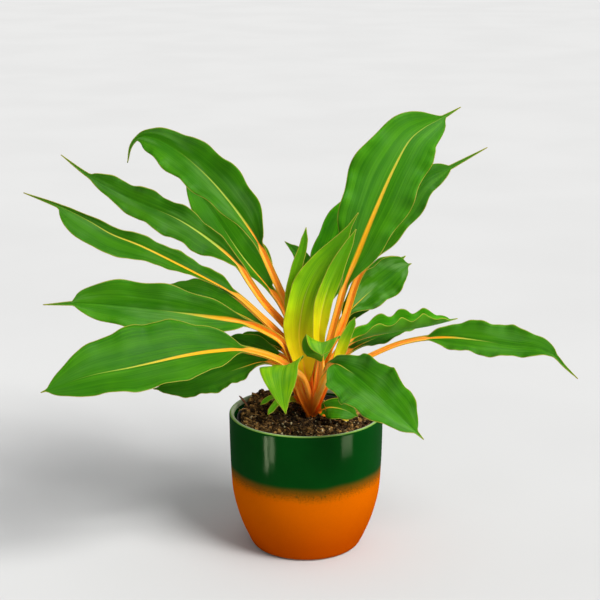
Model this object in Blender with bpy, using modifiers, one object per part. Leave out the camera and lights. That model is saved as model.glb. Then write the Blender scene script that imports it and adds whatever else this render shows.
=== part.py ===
"""Potted spider plant: broad waved leaves on orange channelled stalks, in a glazed cover pot.

Lengths in this file are millimetres, and each mesh is made in metres. The origin is the
centre of the pot's underside, +Z is up, and the side that the leaves turn to is -Y.
"""
from typing import NamedTuple

import bmesh
import bpy
import numpy as np

MM = 0.001
GAP = 0.3
MERGE_DISTANCE = 0.01
CUT_BEYOND = 20.0

# Cover pot: radius and height down its outer side
POT_HEIGHT = 122.0
POT_OUTER = ((67.5, 117.0), (67.2, 95.0), (66.4, 70.0), (64.8, 50.0), (61.8, 36.0), (57.8, 23.0),
             (53.2, 12.0), (48.6, 2.6), (46.6, 0.6), (44.0, 0.0))
POT_WALL = 4.0
POT_FLOOR = 6.0
RIM_ROUND_STEPS = 4
ROUND_STEPS = 40

# Grow pot: a thin plastic pot that stands inside the cover pot
GROW_TOP = 117.0
GROW_TOP_RADIUS = 61.0
GROW_FOOT_RADIUS = 43.5
GROW_WALL = 1.4
GROW_LIP = 1.2
GROW_LIP_HEIGHT = 7.0
GROW_LIP_SLOPE = 1.0

# Soil: a root ball that fills the grow pot, with a mounded top
SOIL_TOP = 113.0
SOIL_EDGE_DROP = 2.5
SOIL_MOUND = 15.0
SOIL_MOUND_PLACE = (-42.0, 38.0)
SOIL_MOUND_SPREAD = 24.0
SOIL_LUMP = 1.1
SOIL_LUMP_LENGTHS = (5.3, 4.7)
SOIL_CRUMB_SHARE = 0.6
SOIL_CRUMB_LENGTHS = (2.9, 3.7)
SOIL_SHOULDER = 2.0
SOIL_RINGS = 7

# Crown: the short stem in the soil that all the stalks grow from
CROWN_PLACE = (5.0, 7.0)
CROWN_FOOT = 88.0
CROWN_RADIUS = 6.2
CROWN_HEIGHT = 122.0
CROWN_TOP_RADIUS = 4.5
CROWN_SIDES = 16
SHEATH_ACROSS = (-1.0, -0.4, 0.4, 1.0)
SHEATH_STEPS = 4

# Stalks: narrow, folded up to a channel, and pinched together at the crown
STALK_HALF = 5.0
STALK_FOLD = 52.0
STALK_THICK = 2.2
CROWN_PINCH = 0.45
CROWN_PINCH_LENGTH = 22.0
CROWN_FACE_SHARE = 0.2

# Blades: the channel opens over the first part of the blade, given as a share of its length
BLADE_THICK = 1.0
OPENS_BEFORE = 0.08
OPENS_OVER = 0.3
MIDRIB_ENDS = 0.5
MIDRIB_NARROWS = 0.25
TAIL_HALF = 2.4
TAIL_OPENS = 0.05
TIP_HALF = 0.8
TIP_FOLD = 12.0
TIP_FLATTENS = 0.3
SIDE_CURVE = 1.4
WAVE_REACH = 2.2
WAVE_SCALLOP = 0.55
WAVE_LAG = 0.2

# Leaf meshes: places across the leaf, and steps along its stalk and its blade
ACROSS = (-1.0, -0.55, 0.0, 0.55, 1.0)
LARGE = (4, 16)
MIDDLE = (3, 11)
SMALL = (3, 8)
ROUTE_COUNT = 181
ROUTE_FINE = 905

# Colours
GLAZE_GREEN = (0.01, 0.13, 0.03)
POT_PLASTIC = (0.05, 0.05, 0.05)
PEAT = (0.045, 0.028, 0.02)
STALK_ORANGE = (0.85, 0.25, 0.03)
LEAF_GREEN = (0.06, 0.22, 0.02)
YOUNG_GREEN = (0.15, 0.4, 0.03)
DRY_YELLOW = (0.6, 0.45, 0.05)


class Leaf(NamedTuple):
    """One leaf. Its midrib runs through the points of stalk and then of blade.

    left and right give each half of the blade, seen on its upper side with the tip up: its
    widest half-width, where along the blade that lies, and how fast it narrows from there.
    faces says where the upper side looks at the crown, at the foot of the blade and at the tip.
    wave is the height of the waved edge, the number of waves and the place of the first.
    fold is the angle by which each half rises from the midrib. tail is the share of the blade
    that is its thin tip, and sheath the length of stalk that has grown together with the crown.
    """

    name: str
    stalk: tuple
    blade: tuple
    left: tuple
    right: tuple
    faces: tuple
    fold: float = 20.0
    tail: float = 0.06
    wave: tuple = (2.0, 3.0, 0.0)
    sheath: float = 40.0
    stalk_half: float = STALK_HALF
    mesh: tuple = LARGE
    colour: tuple = LEAF_GREEN


LEAVES = (
    Leaf("leaf_top_left",
         ((5, 9, 116), (2, 15, 145), (-4, 19, 180), (-17, 18, 213), (-30, 23, 242), (-41, 29, 265)),
         ((-50, 33, 279), (-68, 45, 301), (-89, 58, 322), (-114, 70, 341), (-134, 76, 351),
          (-148, 79, 352), (-156, 81, 344), (-160, 82, 328)),
         (21, 0.66, 1.7), (24, 0.38, 1.3), ((0.3, -1, 0), (0, -1, 0.3), (0, -1, 0.3)),
         18, 0.14, (2.5, 5.0, 0.1)),
    Leaf("leaf_left_behind",
         ((5, 11, 116), (0, 20, 140), (-8, 27, 174), (-21, 28, 208), (-33, 38, 223)),
         ((-57, 60, 247), (-83, 92, 278), (-99, 108, 298), (-111, 120, 319)),
         (18, 0.6, 1.5), (22, 0.35, 1.3), ((0.3, -1, 0), (0.3, -1, 0.4), (0, -1, 0.4)),
         20, 0.08, (2, 3.0, 0.3)),
    Leaf("leaf_left_long_upper",
         ((4, 8, 116), (-1, 9, 145), (-7, 11, 176), (-16, 11, 193), (-37, 8, 218), (-49, 7, 236),
          (-59, 7, 252)),
         ((-80, 13, 270), (-109, 18, 289), (-138, 24, 301), (-162, 28, 311), (-189, 32, 326),
          (-212, 36, 343)),
         (19, 0.4, 1.5), (13, 0.6, 1.1), ((0.3, -1, 0), (0.2, -1, 0.5), (0, -1, 0.5)),
         15, 0.17, (2.5, 5.0, 0.2)),
    Leaf("leaf_left_long_lower",
         ((4, 6, 116), (-3, 3, 145), (-14, 3, 177), (-43, -4, 210), (-66, -10, 232)),
         ((-81, -13, 242), (-107, -15, 257), (-140, -18, 275), (-164, -18, 285), (-182, -18, 296),
          (-206, -16, 308), (-237, -12, 319)),
         (22, 0.68, 1.7), (10, 0.3, 1.2), ((0.3, -1, 0.5), (0.4, -0.5, 0.75), (0, -1, 0.1)),
         30, 0.17, (2.5, 5.0, 0.6)),
    Leaf("leaf_left_middle",
         ((3, 5, 116), (-6, -3, 145), (-19, -8, 185), (-36, -15, 200), (-53, -22, 209)),
         ((-84, -32, 217), (-104, -36, 221), (-147, -42, 228), (-184, -45, 232), (-219, -46, 231)),
         (20, 0.5, 1.2), (23, 0.6, 1.2), ((0.3, -1, 0.5), (0, -1, 0.3), (0, -1, 0.3)),
         15, 0.15, (2.5, 4.0, 0.2)),
    Leaf("leaf_left_inner",
         ((3, 8, 116), (-8, 9, 145), (-18, 10, 176), (-42, 22, 194)),
         ((-74, 45, 204), (-101, 65, 208), (-127, 82, 206), (-152, 94, 198)),
         (18, 0.5, 1.4), (17, 0.5, 1.4), ((0.3, -1, 0.5), (0.1, -0.7, 0.9), (0, -0.7, 0.8)),
         15, 0.05, (2, 3.0, 0.2)),
    Leaf("leaf_front_left",
         ((3, 4, 116), (-4, -8, 138), (-12, -20, 162), (-23, -30, 176), (-55, -50, 192)),
         ((-74, -61, 195), (-97, -75, 196), (-141, -95, 192), (-175, -106, 188), (-212, -114, 177)),
         (32, 0.5, 1.3), (34, 0.48, 1.6), ((0, -1, 0.5), (0, -0.65, 0.75), (0, -0.65, 0.75)),
         20, 0.03, (3, 4.5, 0.5)),
    Leaf("leaf_low_left",
         ((2, 7, 116), (-8, 4, 138), (-20, 2, 160), (-36, 4, 165)),
         ((-58, 6, 159), (-84, 4, 150), (-111, 2, 143), (-134, 0, 142)),
         (17, 0.45, 1.4), (16, 0.5, 1.4), ((0, -1, 0.5), (0.1, -0.7, 0.9), (0, -0.8, 0.8)),
         15, 0.04, (2, 4.0, 0.2), mesh=MIDDLE),
    Leaf("leaf_small_left",
         ((3, 10, 116), (-5, 16, 142), (-14, 19, 159), (-26, 24, 165)),
         ((-42, 33, 170), (-56, 40, 173), (-70, 46, 176)),
         (9, 0.5, 1.4), (9, 0.5, 1.4), ((0, -1, 0.5), (0.1, -0.8, 0.6), (0, -0.8, 0.6)),
         20, 0.05, (1, 2.0, 0), mesh=SMALL),
    Leaf("leaf_small_left_back",
         ((3, 12, 116), (-4, 20, 142), (-13, 28, 160), (-22, 33, 168)),
         ((-36, 40, 173), (-48, 46, 176), (-60, 51, 175)),
         (6, 0.5, 1.4), (6, 0.5, 1.4), ((0, -1, 0.5), (0.1, -0.8, 0.6), (0, -0.8, 0.6)),
         20, 0.05, (1, 2.0, 0), stalk_half=3.5, mesh=SMALL),
    Leaf("leaf_hanging_front",
         ((4, 4, 116), (3, -10, 136), (-2, -25, 158), (-11, -41, 172)),
         ((-17, -55, 181), (-20, -65, 177), (-20, -71, 163), (-17, -75, 145)),
         (15, 0.3, 1.4), (21, 0.28, 1.7), ((0, 1, 0.5), (-0.4, 0, 0.9), (0.1, -1, 0.3)),
         10, 0.05, (1.5, 2.0, 0), stalk_half=4, mesh=SMALL, colour=YOUNG_GREEN),
    Leaf("leaf_front_right",
         ((5, 4, 116), (9, -13, 135), (15, -33, 155), (18, -47, 172), (24, -55, 182)),
         ((37, -71, 180), (51, -89, 174), (67, -106, 163), (94, -116, 138)),
         (23, 0.52, 1.4), (26, 0.38, 1.3), ((0, 1, 0.7), (-0.5, -0.5, 0.6), (0.2, -1, 0.5)),
         15, 0.08, (3, 4.0, 0.3)),
    Leaf("leaf_far_right",
         ((7, 5, 116), (12, 2, 133), (20, -3, 149), (36, -7, 164), (56, -12, 176), (81, -16, 188),
          (105, -20, 194)),
         ((123, -24, 196), (148, -30, 195), (174, -34, 192), (195, -38, 191), (208, -40, 186),
          (218, -43, 176), (229, -45, 166)),
         (17, 0.5, 1.4), (14, 0.4, 1.2), ((0, -1, 0.5), (0, -0.8, 0.6), (0.1, -0.8, 0.6)),
         15, 0.2, (2.5, 4.0, 0.2), stalk_half=3.5),
    Leaf("leaf_right_wavy",
         ((7, 7, 116), (12, 7, 135), (19, 8, 155), (30, 9, 173), (42, 11, 182)),
         ((57, 14, 187), (83, 22, 189), (113, 30, 192), (135, 36, 196)),
         (16, 0.5, 1.0), (18, 0.5, 1.0), ((0, -1, 0.5), (0, -0.3, 1), (0, -0.1, 1)),
         58, 0.07, (3, 4.5, 0.2)),
    Leaf("leaf_right_under",
         ((7, 8, 116), (15, 11, 138), (28, 17, 160), (42, 26, 170)),
         ((62, 44, 175), (89, 66, 178), (112, 86, 180)),
         (10, 0.5, 1.4), (9, 0.4, 1.4), ((0, -1, 0.5), (0, -0.6, 0.9), (0, -0.6, 0.9)),
         15, 0.05, (2, 2.0, 0), mesh=MIDDLE),
    Leaf("leaf_right_folded",
         ((7, 10, 116), (13, 17, 145), (20, 23, 170), (32, 28, 195), (38, 31, 203)),
         ((52, 40, 215), (70, 50, 228), (84, 57, 237), (95, 62, 240)),
         (17, 0.55, 1.0), (18, 0.55, 1.2), ((0, -1, 0.2), (0, -0.9, 0.4), (0.2, -0.9, 0.4)),
         20, 0.06, (2, 3.0, 0), mesh=MIDDLE),
    Leaf("leaf_right_back",
         ((7, 12, 116), (14, 23, 144), (22, 34, 170), (35, 46, 188)),
         ((49, 60, 207), (72, 82, 227), (92, 96, 239)),
         (15, 0.5, 1.2), (15, 0.5, 1.2), ((0, -1, 0.2), (0, -0.8, 0.5), (0, -0.8, 0.5)),
         20, 0.05, (2, 3.0, 0), mesh=MIDDLE),
    Leaf("leaf_top_right",
         ((6, 6, 116), (12, 2, 145), (19, 1, 180), (27, 3, 210), (34, 6, 235)),
         ((44, 9, 260), (58, 14, 295), (76, 26, 334), (90, 38, 356), (103, 48, 365),
          (117, 57, 371), (136, 68, 380)),
         (35, 0.52, 2.2), (28, 0.58, 1.3), ((0, -1, 0), (-0.2, -1, 0), (0.1, -1, 0.3)),
         12, 0.1, (3, 4.0, 0.2)),
    Leaf("leaf_top_right_back",
         ((6, 10, 116), (13, 14, 150), (19, 14, 172), (32, 18, 196), (46, 27, 236), (55, 31, 250)),
         ((72, 42, 272), (90, 56, 295), (107, 66, 315), (131, 76, 326), (163, 88, 341)),
         (18, 0.5, 1.3), (14, 0.55, 1.3), ((0, -1, 0), (-0.2, -1, 0), (0.1, -1, 0.5)),
         15, 0.26, (2, 4.0, 0.2)),
    Leaf("leaf_back_centre",
         ((5, 11, 116), (6, 20, 145), (9, 28, 176), (14, 38, 206)),
         ((23, 60, 242), (32, 78, 272), (46, 92, 301)),
         (20, 0.42, 1.1), (18, 0.4, 1.2), ((0, -1, 0), (0, -1, 0.3), (0, -1, 0.3)),
         20, 0.05, (2, 3.0, 0), mesh=MIDDLE),
    Leaf("leaf_small_back",
         ((4, 11, 116), (2, 26, 146), (2, 36, 180), (1, 47, 211)),
         ((-1, 60, 236), (-6, 66, 247), (-19, 72, 258)),
         (8, 0.4, 1.4), (10, 0.4, 1.4), ((0, -1, 0), (0, -1, 0.3), (0, -1, 0.3)),
         20, 0.1, (1, 2.0, 0), stalk_half=3.5, mesh=SMALL),
    Leaf("leaf_centre_tall",
         ((5, 5, 116), (3, -2, 136), (0, -8, 155)),
         ((-3, -10, 173), (-6, -10, 190), (-5, -9, 208), (0, -7, 231), (11, -5, 253), (26, -4, 271),
          (44, -3, 300)),
         (14, 0.45, 1.3), (18, 0.4, 1.3), ((0, -1, 0), (0, -1, 0), (0.2, -1, 0.3)),
         14, 0.08, (1.5, 4.0, 0), colour=YOUNG_GREEN),
    Leaf("leaf_centre_right",
         ((6, 5, 116), (8, -6, 135), (10, -13, 157), (12, -19, 180)),
         ((11, -23, 200), (13, -23, 218), (19, -20, 240), (29, -17, 262), (42, -13, 288)),
         (8, 0.5, 1.4), (8, 0.5, 1.4), ((0, -1, 0), (0, -1, 0), (0, -1, 0.2)),
         25, 0.05, (1, 3.0, 0), mesh=MIDDLE, colour=YOUNG_GREEN),
    Leaf("leaf_centre_narrow",
         ((5, 7, 116), (4, 4, 140), (1, 1, 165), (-8, -1, 190)),
         ((-13, 0, 208), (-12, 2, 228), (-8, 4, 250), (-3, 6, 266), (0, 8, 285)),
         (6, 0.4, 1.2), (5, 0.4, 1.2), ((0, -1, 0), (0, -1, 0), (0, -1, 0.2)),
         25, 0.05, (0.5, 3.0, 0), stalk_half=3.5, mesh=SMALL, colour=YOUNG_GREEN),
    Leaf("leaf_small_folded",
         ((6, 4, 116), (11, -11, 138), (14, -24, 159), (14, -32, 178)),
         ((14, -35, 191), (13, -42, 197), (13, -51, 188)),
         (17, 0.4, 1.0), (17, 0.4, 1.0), ((0, 1, 0.5), (-0.2, 0.2, 1), (0, -1, 0.5)),
         22, 0.05, (1.5, 2.0, 0), stalk_half=3.5, mesh=SMALL, colour=YOUNG_GREEN),
    Leaf("leaf_small_yellow",
         ((7, 4, 116), (15, -6, 140), (23, -13, 161)),
         ((30, -15, 182), (35, -13, 194), (42, -9, 210)),
         (5, 0.5, 1.4), (4, 0.5, 1.4), ((0, -1, 0), (0, -1, 0), (0, -1, 0.2)),
         20, 0.05, (0.5, 2.0, 0), stalk_half=3.0, mesh=SMALL, colour=YOUNG_GREEN),
    Leaf("leaf_soil_right",
         ((7, 5, 116), (12, -5, 123)),
         ((20, -12, 129), (32, -17, 129), (45, -18, 123)),
         (9, 0.58, 2.0), (11, 0.5, 1.4), ((0, -1, 0.5), (0, -1, 0.6), (0, -1, 0.6)),
         15, 0.05, (1, 2.0, 0), 18.0, 3.0, SMALL),
    Leaf("leaf_soil_left",
         ((3, 6, 116), (-3, 2, 126)),
         ((-12, -4, 133), (-23, -14, 135), (-33, -28, 128)),
         (4, 0.4, 1.2), (4, 0.4, 1.2), ((0, -1, 0.5), (0, -0.5, 1), (0, -0.5, 1)),
         15, 0.05, (1, 2.0, 0), 22.0, 3.0, SMALL),
    Leaf("leaf_soil_left_back",
         ((3, 9, 116), (-4, 8, 127)),
         ((-16, 4, 133), (-29, -2, 135), (-40, -8, 130)),
         (2, 0.45, 1.2), (2, 0.45, 1.2), ((0, -1, 0.5), (0, -0.5, 1), (0, -0.5, 1)),
         15, 0.05, (0.5, 2.0, 0), 22.0, 2.5, SMALL),
    Leaf("leaf_soil_dry",
         ((8, 6, 116), (15, 5, 120)),
         ((22, 4, 120), (29, 1, 118), (37, -8, 114.5)),
         (2.2, 0.45, 1.4), (2.2, 0.45, 1.4), ((0, -1, 0.5), (0, -0.5, 1), (0, -0.5, 1)),
         15, 0.05, (0.5, 2.0, 0), 12.0, 2.0, SMALL, DRY_YELLOW),
)

# Leaf shape

def smoothstep(x):
    """Smooth rise from 0 to 1 as x does so."""
    x = np.clip(x, 0.0, 1.0)
    return x * x * (3.0 - 2.0 * x)


def unit(v):
    """The vectors at a length of 1."""
    v = np.asarray(v, float)
    return v / np.linalg.norm(v, axis=-1, keepdims=True)


def smooth_route(points):
    """A smooth curve through the points, as evenly spaced points, and its length."""
    points = np.asarray(points, float)
    steps = np.linalg.norm(np.diff(points, axis=0), axis=1) ** 0.5
    knots = np.concatenate(([0.0], np.cumsum(steps)))
    slopes = np.gradient(points, knots, axis=0)
    t = np.linspace(0.0, knots[-1], ROUTE_FINE)
    i = np.clip(np.searchsorted(knots, t, side="right") - 1, 0, len(points) - 2)
    span = (knots[i + 1] - knots[i])[:, None]
    u = (t - knots[i])[:, None] / span
    curve = (points[i] * (2 * u**3 - 3 * u**2 + 1) + slopes[i] * span * (u**3 - 2 * u**2 + u)
             + points[i + 1] * (3 * u**2 - 2 * u**3) + slopes[i + 1] * span * (u**3 - u**2))
    lengths = np.linalg.norm(np.diff(curve, axis=0), axis=1)
    length = np.concatenate(([0.0], np.cumsum(lengths)))
    even = np.linspace(0.0, length[-1], ROUTE_COUNT)
    route = np.stack([np.interp(even, length, curve[:, k]) for k in range(3)], 1)
    return route, length[-1]


def read_along(values, share):
    """Values at each share of a route, between its evenly spaced points."""
    even = np.linspace(0.0, 1.0, len(values))
    return np.stack([np.interp(share, even, values[:, k]) for k in range(values.shape[1])], 1)


def half_shape(b, half, tail):
    """Share of the widest half-width at b, which runs from 0 at the blade's foot to 1."""
    _, widest, narrowing = half
    x = np.clip(b / (1.0 - tail), 0.0, 1.0)
    rise = widest * narrowing
    fall = (1.0 - widest) * narrowing
    return (x / widest) ** rise * ((1.0 - x) / (1.0 - widest)) ** fall


def blade_start(leaf, route):
    """Share of the route at which the stalk ends."""
    foot = np.array(leaf.stalk[-1], float)
    return np.argmin(np.linalg.norm(route - foot, axis=1)) / (len(route) - 1)


def leaf_surface(leaf, share, across):
    """Points of the leaf's middle surface, for shares of its route and places across it.

    Each half is turned up at the midrib by the fold, and its edge rises and falls in waves.
    The stalk is the same surface, narrow and folded up to a channel.
    """
    route, length = smooth_route(leaf.stalk + leaf.blade)
    start = blade_start(leaf, route)
    middle = read_along(route, share)
    ahead = unit(read_along(unit(np.gradient(route, axis=0)), share))
    b = (share - start) / (1.0 - start)
    at_crown, at_foot, at_tip = (unit(face) for face in leaf.faces)
    turn = smoothstep((share / start - CROWN_FACE_SHARE) / (1 - CROWN_FACE_SHARE))[:, None]
    face = at_crown * (1 - turn) + at_foot * turn
    turn = smoothstep(b)[:, None]
    face = face * (1 - turn) + at_tip * turn
    normal = unit(face - np.sum(face * ahead, 1, keepdims=True) * ahead)
    sideways = np.cross(ahead, normal)

    place = np.asarray(across)[None, :]
    edge = np.abs(place)
    on_left = place < 0
    tail = np.clip(b / OPENS_OVER, 0, 1) * np.clip((1 - b) / (leaf.tail + TAIL_OPENS), 0, 1)
    spare = (leaf.stalk_half * (1 - smoothstep(b / OPENS_OVER)) + TIP_HALF * smoothstep(b)
             + TAIL_HALF * tail)
    left = half_shape(b, leaf.left, leaf.tail)[:, None]
    right = half_shape(b, leaf.right, leaf.tail)[:, None]
    shape = np.where(on_left, left, right)
    width = np.hypot(spare[:, None], shape * np.where(on_left, leaf.left[0], leaf.right[0]))
    pinch = CROWN_PINCH + (1 - CROWN_PINCH) * smoothstep(share * length / CROWN_PINCH_LENGTH)
    width = width * pinch[:, None]
    opened = smoothstep((b + OPENS_BEFORE) / OPENS_OVER)
    flattened = smoothstep((b - 1.0 + TIP_FLATTENS) / TIP_FLATTENS)
    blade_fold = leaf.fold + (min(leaf.fold, TIP_FOLD) - leaf.fold) * flattened
    fold = np.radians(STALK_FOLD + (blade_fold - STALK_FOLD) * opened)[:, None]
    rise = edge**SIDE_CURVE
    out = width * (edge - (1 - np.cos(fold)) * rise)
    up = width * np.sin(fold) * rise
    height, count, first = leaf.wave
    beat = 2 * np.pi * (count * b[:, None] + first + WAVE_LAG * np.sign(place))
    ripple = height * edge**WAVE_REACH * shape
    up = up + ripple * np.sin(beat)
    out = (out + WAVE_SCALLOP * ripple * np.cos(beat)) * np.sign(place)
    return middle[:, None] + sideways[:, None] * out[..., None] + normal[:, None] * up[..., None]


# Scene

def clear_scene():
    """Remove every object."""
    for obj in list(bpy.data.objects):
        bpy.data.objects.remove(obj, do_unlink=True)


def new_collection(name):
    """A new collection in the scene."""
    group = bpy.data.collections.new(name)
    bpy.context.scene.collection.children.link(group)
    return group


def finish(obj, colour, roughness):
    """Give the object its own material."""
    material = bpy.data.materials.new(obj.name + "_finish")
    material.use_nodes = True
    shader = material.node_tree.nodes["Principled BSDF"]
    shader.inputs["Base Color"].default_value = (*colour, 1.0)
    shader.inputs["Roughness"].default_value = roughness
    shader.inputs["Metallic"].default_value = 0.0
    obj.data.materials.append(material)
    return obj


def turned(name, profile, group):
    """A body turned from a profile of radius and height, down its outer side."""
    bm = bmesh.new()
    verts = [bm.verts.new((radius * MM, 0.0, height * MM)) for radius, height in profile]
    for a, b in zip(verts[:-1], verts[1:]):
        bm.edges.new((a, b))
    mesh = bpy.data.meshes.new(name)
    bm.to_mesh(mesh)
    bm.free()
    obj = bpy.data.objects.new(name, mesh)
    group.objects.link(obj)
    screw = obj.modifiers.new("turn", "SCREW")
    screw.steps = ROUND_STEPS
    screw.render_steps = ROUND_STEPS
    screw.use_merge_vertices = True
    screw.merge_threshold = MERGE_DISTANCE * MM
    screw.use_smooth_shade = True
    return obj


def baked(obj):
    """The object's evaluated mesh in its place, and the object's modifiers removed."""
    bpy.context.view_layer.update()
    evaluated = obj.evaluated_get(bpy.context.evaluated_depsgraph_get())
    mesh = bpy.data.meshes.new_from_object(evaluated)
    obj.modifiers.clear()
    obj.data = mesh
    return obj


def move_to(obj, group):
    """Link the object in this collection only."""
    for owner in list(obj.users_collection):
        owner.objects.unlink(obj)
    group.objects.link(obj)


# Pots

def arc(centre, radius, start, stop, steps):
    """Points of an arc, between two angles in degrees."""
    angles = np.radians(np.linspace(start, stop, steps + 1))
    return [(centre[0] + radius * np.cos(a), centre[1] + radius * np.sin(a)) for a in angles]


def make_cover_pot(group):
    """Turned pot: its inner wall follows the outer one, and the rim between is half round."""
    half_wall = POT_WALL / 2
    rim_radius = POT_OUTER[0][0] - half_wall
    inner = [(radius - POT_WALL, height) for radius, height in POT_OUTER[1:-3]]
    inner_floor = [(inner[-1][0] - POT_FLOOR / 2, POT_FLOOR), (0.0, POT_FLOOR)]
    rim = arc((rim_radius, POT_HEIGHT - half_wall), half_wall, 180, 0, RIM_ROUND_STEPS)
    profile = inner_floor[::-1] + inner[::-1] + rim + list(POT_OUTER) + [(0.0, 0.0)]
    pot = turned("cover_pot", profile, group)
    return finish(pot, GLAZE_GREEN, 0.15)


def grow_wall_radius(height):
    """Outer radius of the grow pot's wall, which tapers evenly."""
    share = (height - POT_FLOOR) / (GROW_TOP - POT_FLOOR)
    return GROW_FOOT_RADIUS + (GROW_TOP_RADIUS - GROW_LIP - GROW_FOOT_RADIUS) * share


def make_grow_pot(group):
    """Thin turned pot with an upright lip."""
    foot = POT_FLOOR + GAP
    lip_foot = GROW_TOP - GROW_LIP_HEIGHT
    floor = foot + GROW_WALL
    profile = [(0.0, floor), (grow_wall_radius(floor) - GROW_WALL, floor),
               (grow_wall_radius(lip_foot) - GROW_WALL, lip_foot),
               (GROW_TOP_RADIUS - GROW_WALL, GROW_TOP), (GROW_TOP_RADIUS, GROW_TOP),
               (GROW_TOP_RADIUS, lip_foot + GROW_LIP_SLOPE), (grow_wall_radius(lip_foot), lip_foot),
               (grow_wall_radius(foot), foot), (0.0, foot)]
    return finish(turned("grow_pot", profile, group), POT_PLASTIC, 0.5)


# Soil

def soil_height(x, y):
    """Height of the soil: level, lower at the edge, mounded on one side, with low lumps."""
    edge = (x**2 + y**2)**2 / GROW_TOP_RADIUS**4
    away = (x - SOIL_MOUND_PLACE[0])**2 + (y - SOIL_MOUND_PLACE[1])**2
    mound = np.exp(-away / (2 * SOIL_MOUND_SPREAD**2))
    lumps = np.sin(x / SOIL_LUMP_LENGTHS[0] + 1.0) * np.sin(y / SOIL_LUMP_LENGTHS[1])
    crumbs = np.sin(x / SOIL_CRUMB_LENGTHS[0] + y / SOIL_CRUMB_LENGTHS[1])
    rough = SOIL_LUMP * (lumps + SOIL_CRUMB_SHARE * crumbs) * (1 - edge)
    return SOIL_TOP - SOIL_EDGE_DROP * edge + SOIL_MOUND * mound + rough


def make_soil(group, cutters):
    """Turned root ball whose top is moved to the soil's height, with a hole for the crown."""
    floor = POT_FLOOR + GAP + GROW_WALL + GAP
    lip_foot = GROW_TOP - GROW_LIP_HEIGHT
    shoulder = lip_foot - SOIL_SHOULDER
    rings = np.linspace(0.0, grow_wall_radius(lip_foot) - GROW_WALL - GAP, SOIL_RINGS + 1)
    profile = [(radius, SOIL_TOP) for radius in rings]
    profile += [(grow_wall_radius(height) - GROW_WALL - GAP, height) for height in (shoulder, floor)]
    soil = baked(turned("soil", profile + [(0.0, floor)], group))
    for vert in soil.data.vertices:
        if vert.co.z > shoulder * MM + GAP * MM:
            vert.co.z = soil_height(vert.co.x / MM, vert.co.y / MM) * MM
    hole_floor = CROWN_FOOT - GAP
    depth = SOIL_TOP + CUT_BEYOND - hole_floor
    bpy.ops.mesh.primitive_cylinder_add(
        vertices=CROWN_SIDES, radius=(CROWN_RADIUS + GAP) * MM, depth=depth * MM,
        location=(CROWN_PLACE[0] * MM, CROWN_PLACE[1] * MM, (hole_floor + depth / 2) * MM))
    hole = bpy.context.object
    hole.name = "crown_hole"
    hole.hide_render = True
    hole.display_type = "WIRE"
    move_to(hole, cutters)
    cut = soil.modifiers.new("crown hole", "BOOLEAN")
    cut.operation = "DIFFERENCE"
    cut.object = hole
    return finish(soil, PEAT, 0.95)


# Leaves and crown

def sheet_object(name, points, group):
    """An open surface through a grid of points, split into triangles the same way all over."""
    rows, columns = points.shape[:2]
    bm = bmesh.new()
    verts = [bm.verts.new(point) for point in points.reshape(-1, 3) * MM]
    for i in range(rows - 1):
        for j in range(columns - 1):
            a, b = verts[i * columns + j], verts[i * columns + j + 1]
            c, d = verts[(i + 1) * columns + j + 1], verts[(i + 1) * columns + j]
            bm.faces.new((a, b, c, d))
    bmesh.ops.triangulate(bm, faces=bm.faces[:], quad_method="FIXED")
    mesh = bpy.data.meshes.new(name)
    bm.to_mesh(mesh)
    bm.free()
    mesh.shade_smooth()
    obj = bpy.data.objects.new(name, mesh)
    group.objects.link(obj)
    return obj


def stalk_thickness(leaf):
    """Small leaves have thinner stalks."""
    return max(BLADE_THICK, STALK_THICK * leaf.stalk_half / STALK_HALF)


def thicken(obj, thick, stout):
    """Give the surface its thickness, thick where stout is 1 and the blade's where it is 0."""
    stout_group = obj.vertex_groups.new(name="stout")
    for index, weight in enumerate(stout):
        stout_group.add([index], float(weight), "REPLACE")
    solid = obj.modifiers.new("thickness", "SOLIDIFY")
    solid.thickness = thick * MM
    solid.offset = 0.0
    solid.vertex_group = "stout"
    solid.thickness_vertex_group = BLADE_THICK / thick
    return obj


def make_leaf(leaf, group):
    """Stalk and blade in one, from the end of the leaf's sheath to its tip."""
    route, length = smooth_route(leaf.stalk + leaf.blade)
    start = blade_start(leaf, route)
    stalk_steps, blade_steps = leaf.mesh
    foot = (leaf.sheath + GAP) / length
    share = np.linspace(start, 1.0, blade_steps + 1)
    if foot < start:
        share = np.concatenate((np.linspace(foot, start, stalk_steps + 1)[:-1], share))
    else:
        share = np.linspace(foot, 1.0, blade_steps + 1)
    obj = sheet_object(leaf.name, leaf_surface(leaf, share, ACROSS), group)
    b = ((share - start) / (1.0 - start))[:, None]
    edge = np.abs(ACROSS)[None, :]
    stout = np.clip(1.0 - b / MIDRIB_ENDS, 0, 1) * (1.0 - edge * np.clip(b / MIDRIB_NARROWS, 0, 1))
    thicken(obj, stalk_thickness(leaf), stout.ravel())
    return finish(obj, leaf.colour, 0.45)


def fill_sealed_hollows(obj):
    """Keep the largest skin of a joined body: the others line small hollows sealed inside it."""
    bm = bmesh.new()
    bm.from_mesh(obj.data)
    unseen = set(bm.verts)
    skins = []
    while unseen:
        reached = [unseen.pop()]
        for vert in reached:
            near = {edge.other_vert(vert) for edge in vert.link_edges} & unseen
            unseen -= near
            reached.extend(near)
        skins.append(reached)
    skins.sort(key=len)
    inner = [vert for skin in skins[:-1] for vert in skin]
    bmesh.ops.delete(bm, geom=inner, context="VERTS")
    bm.to_mesh(obj.data)
    bm.free()


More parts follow.
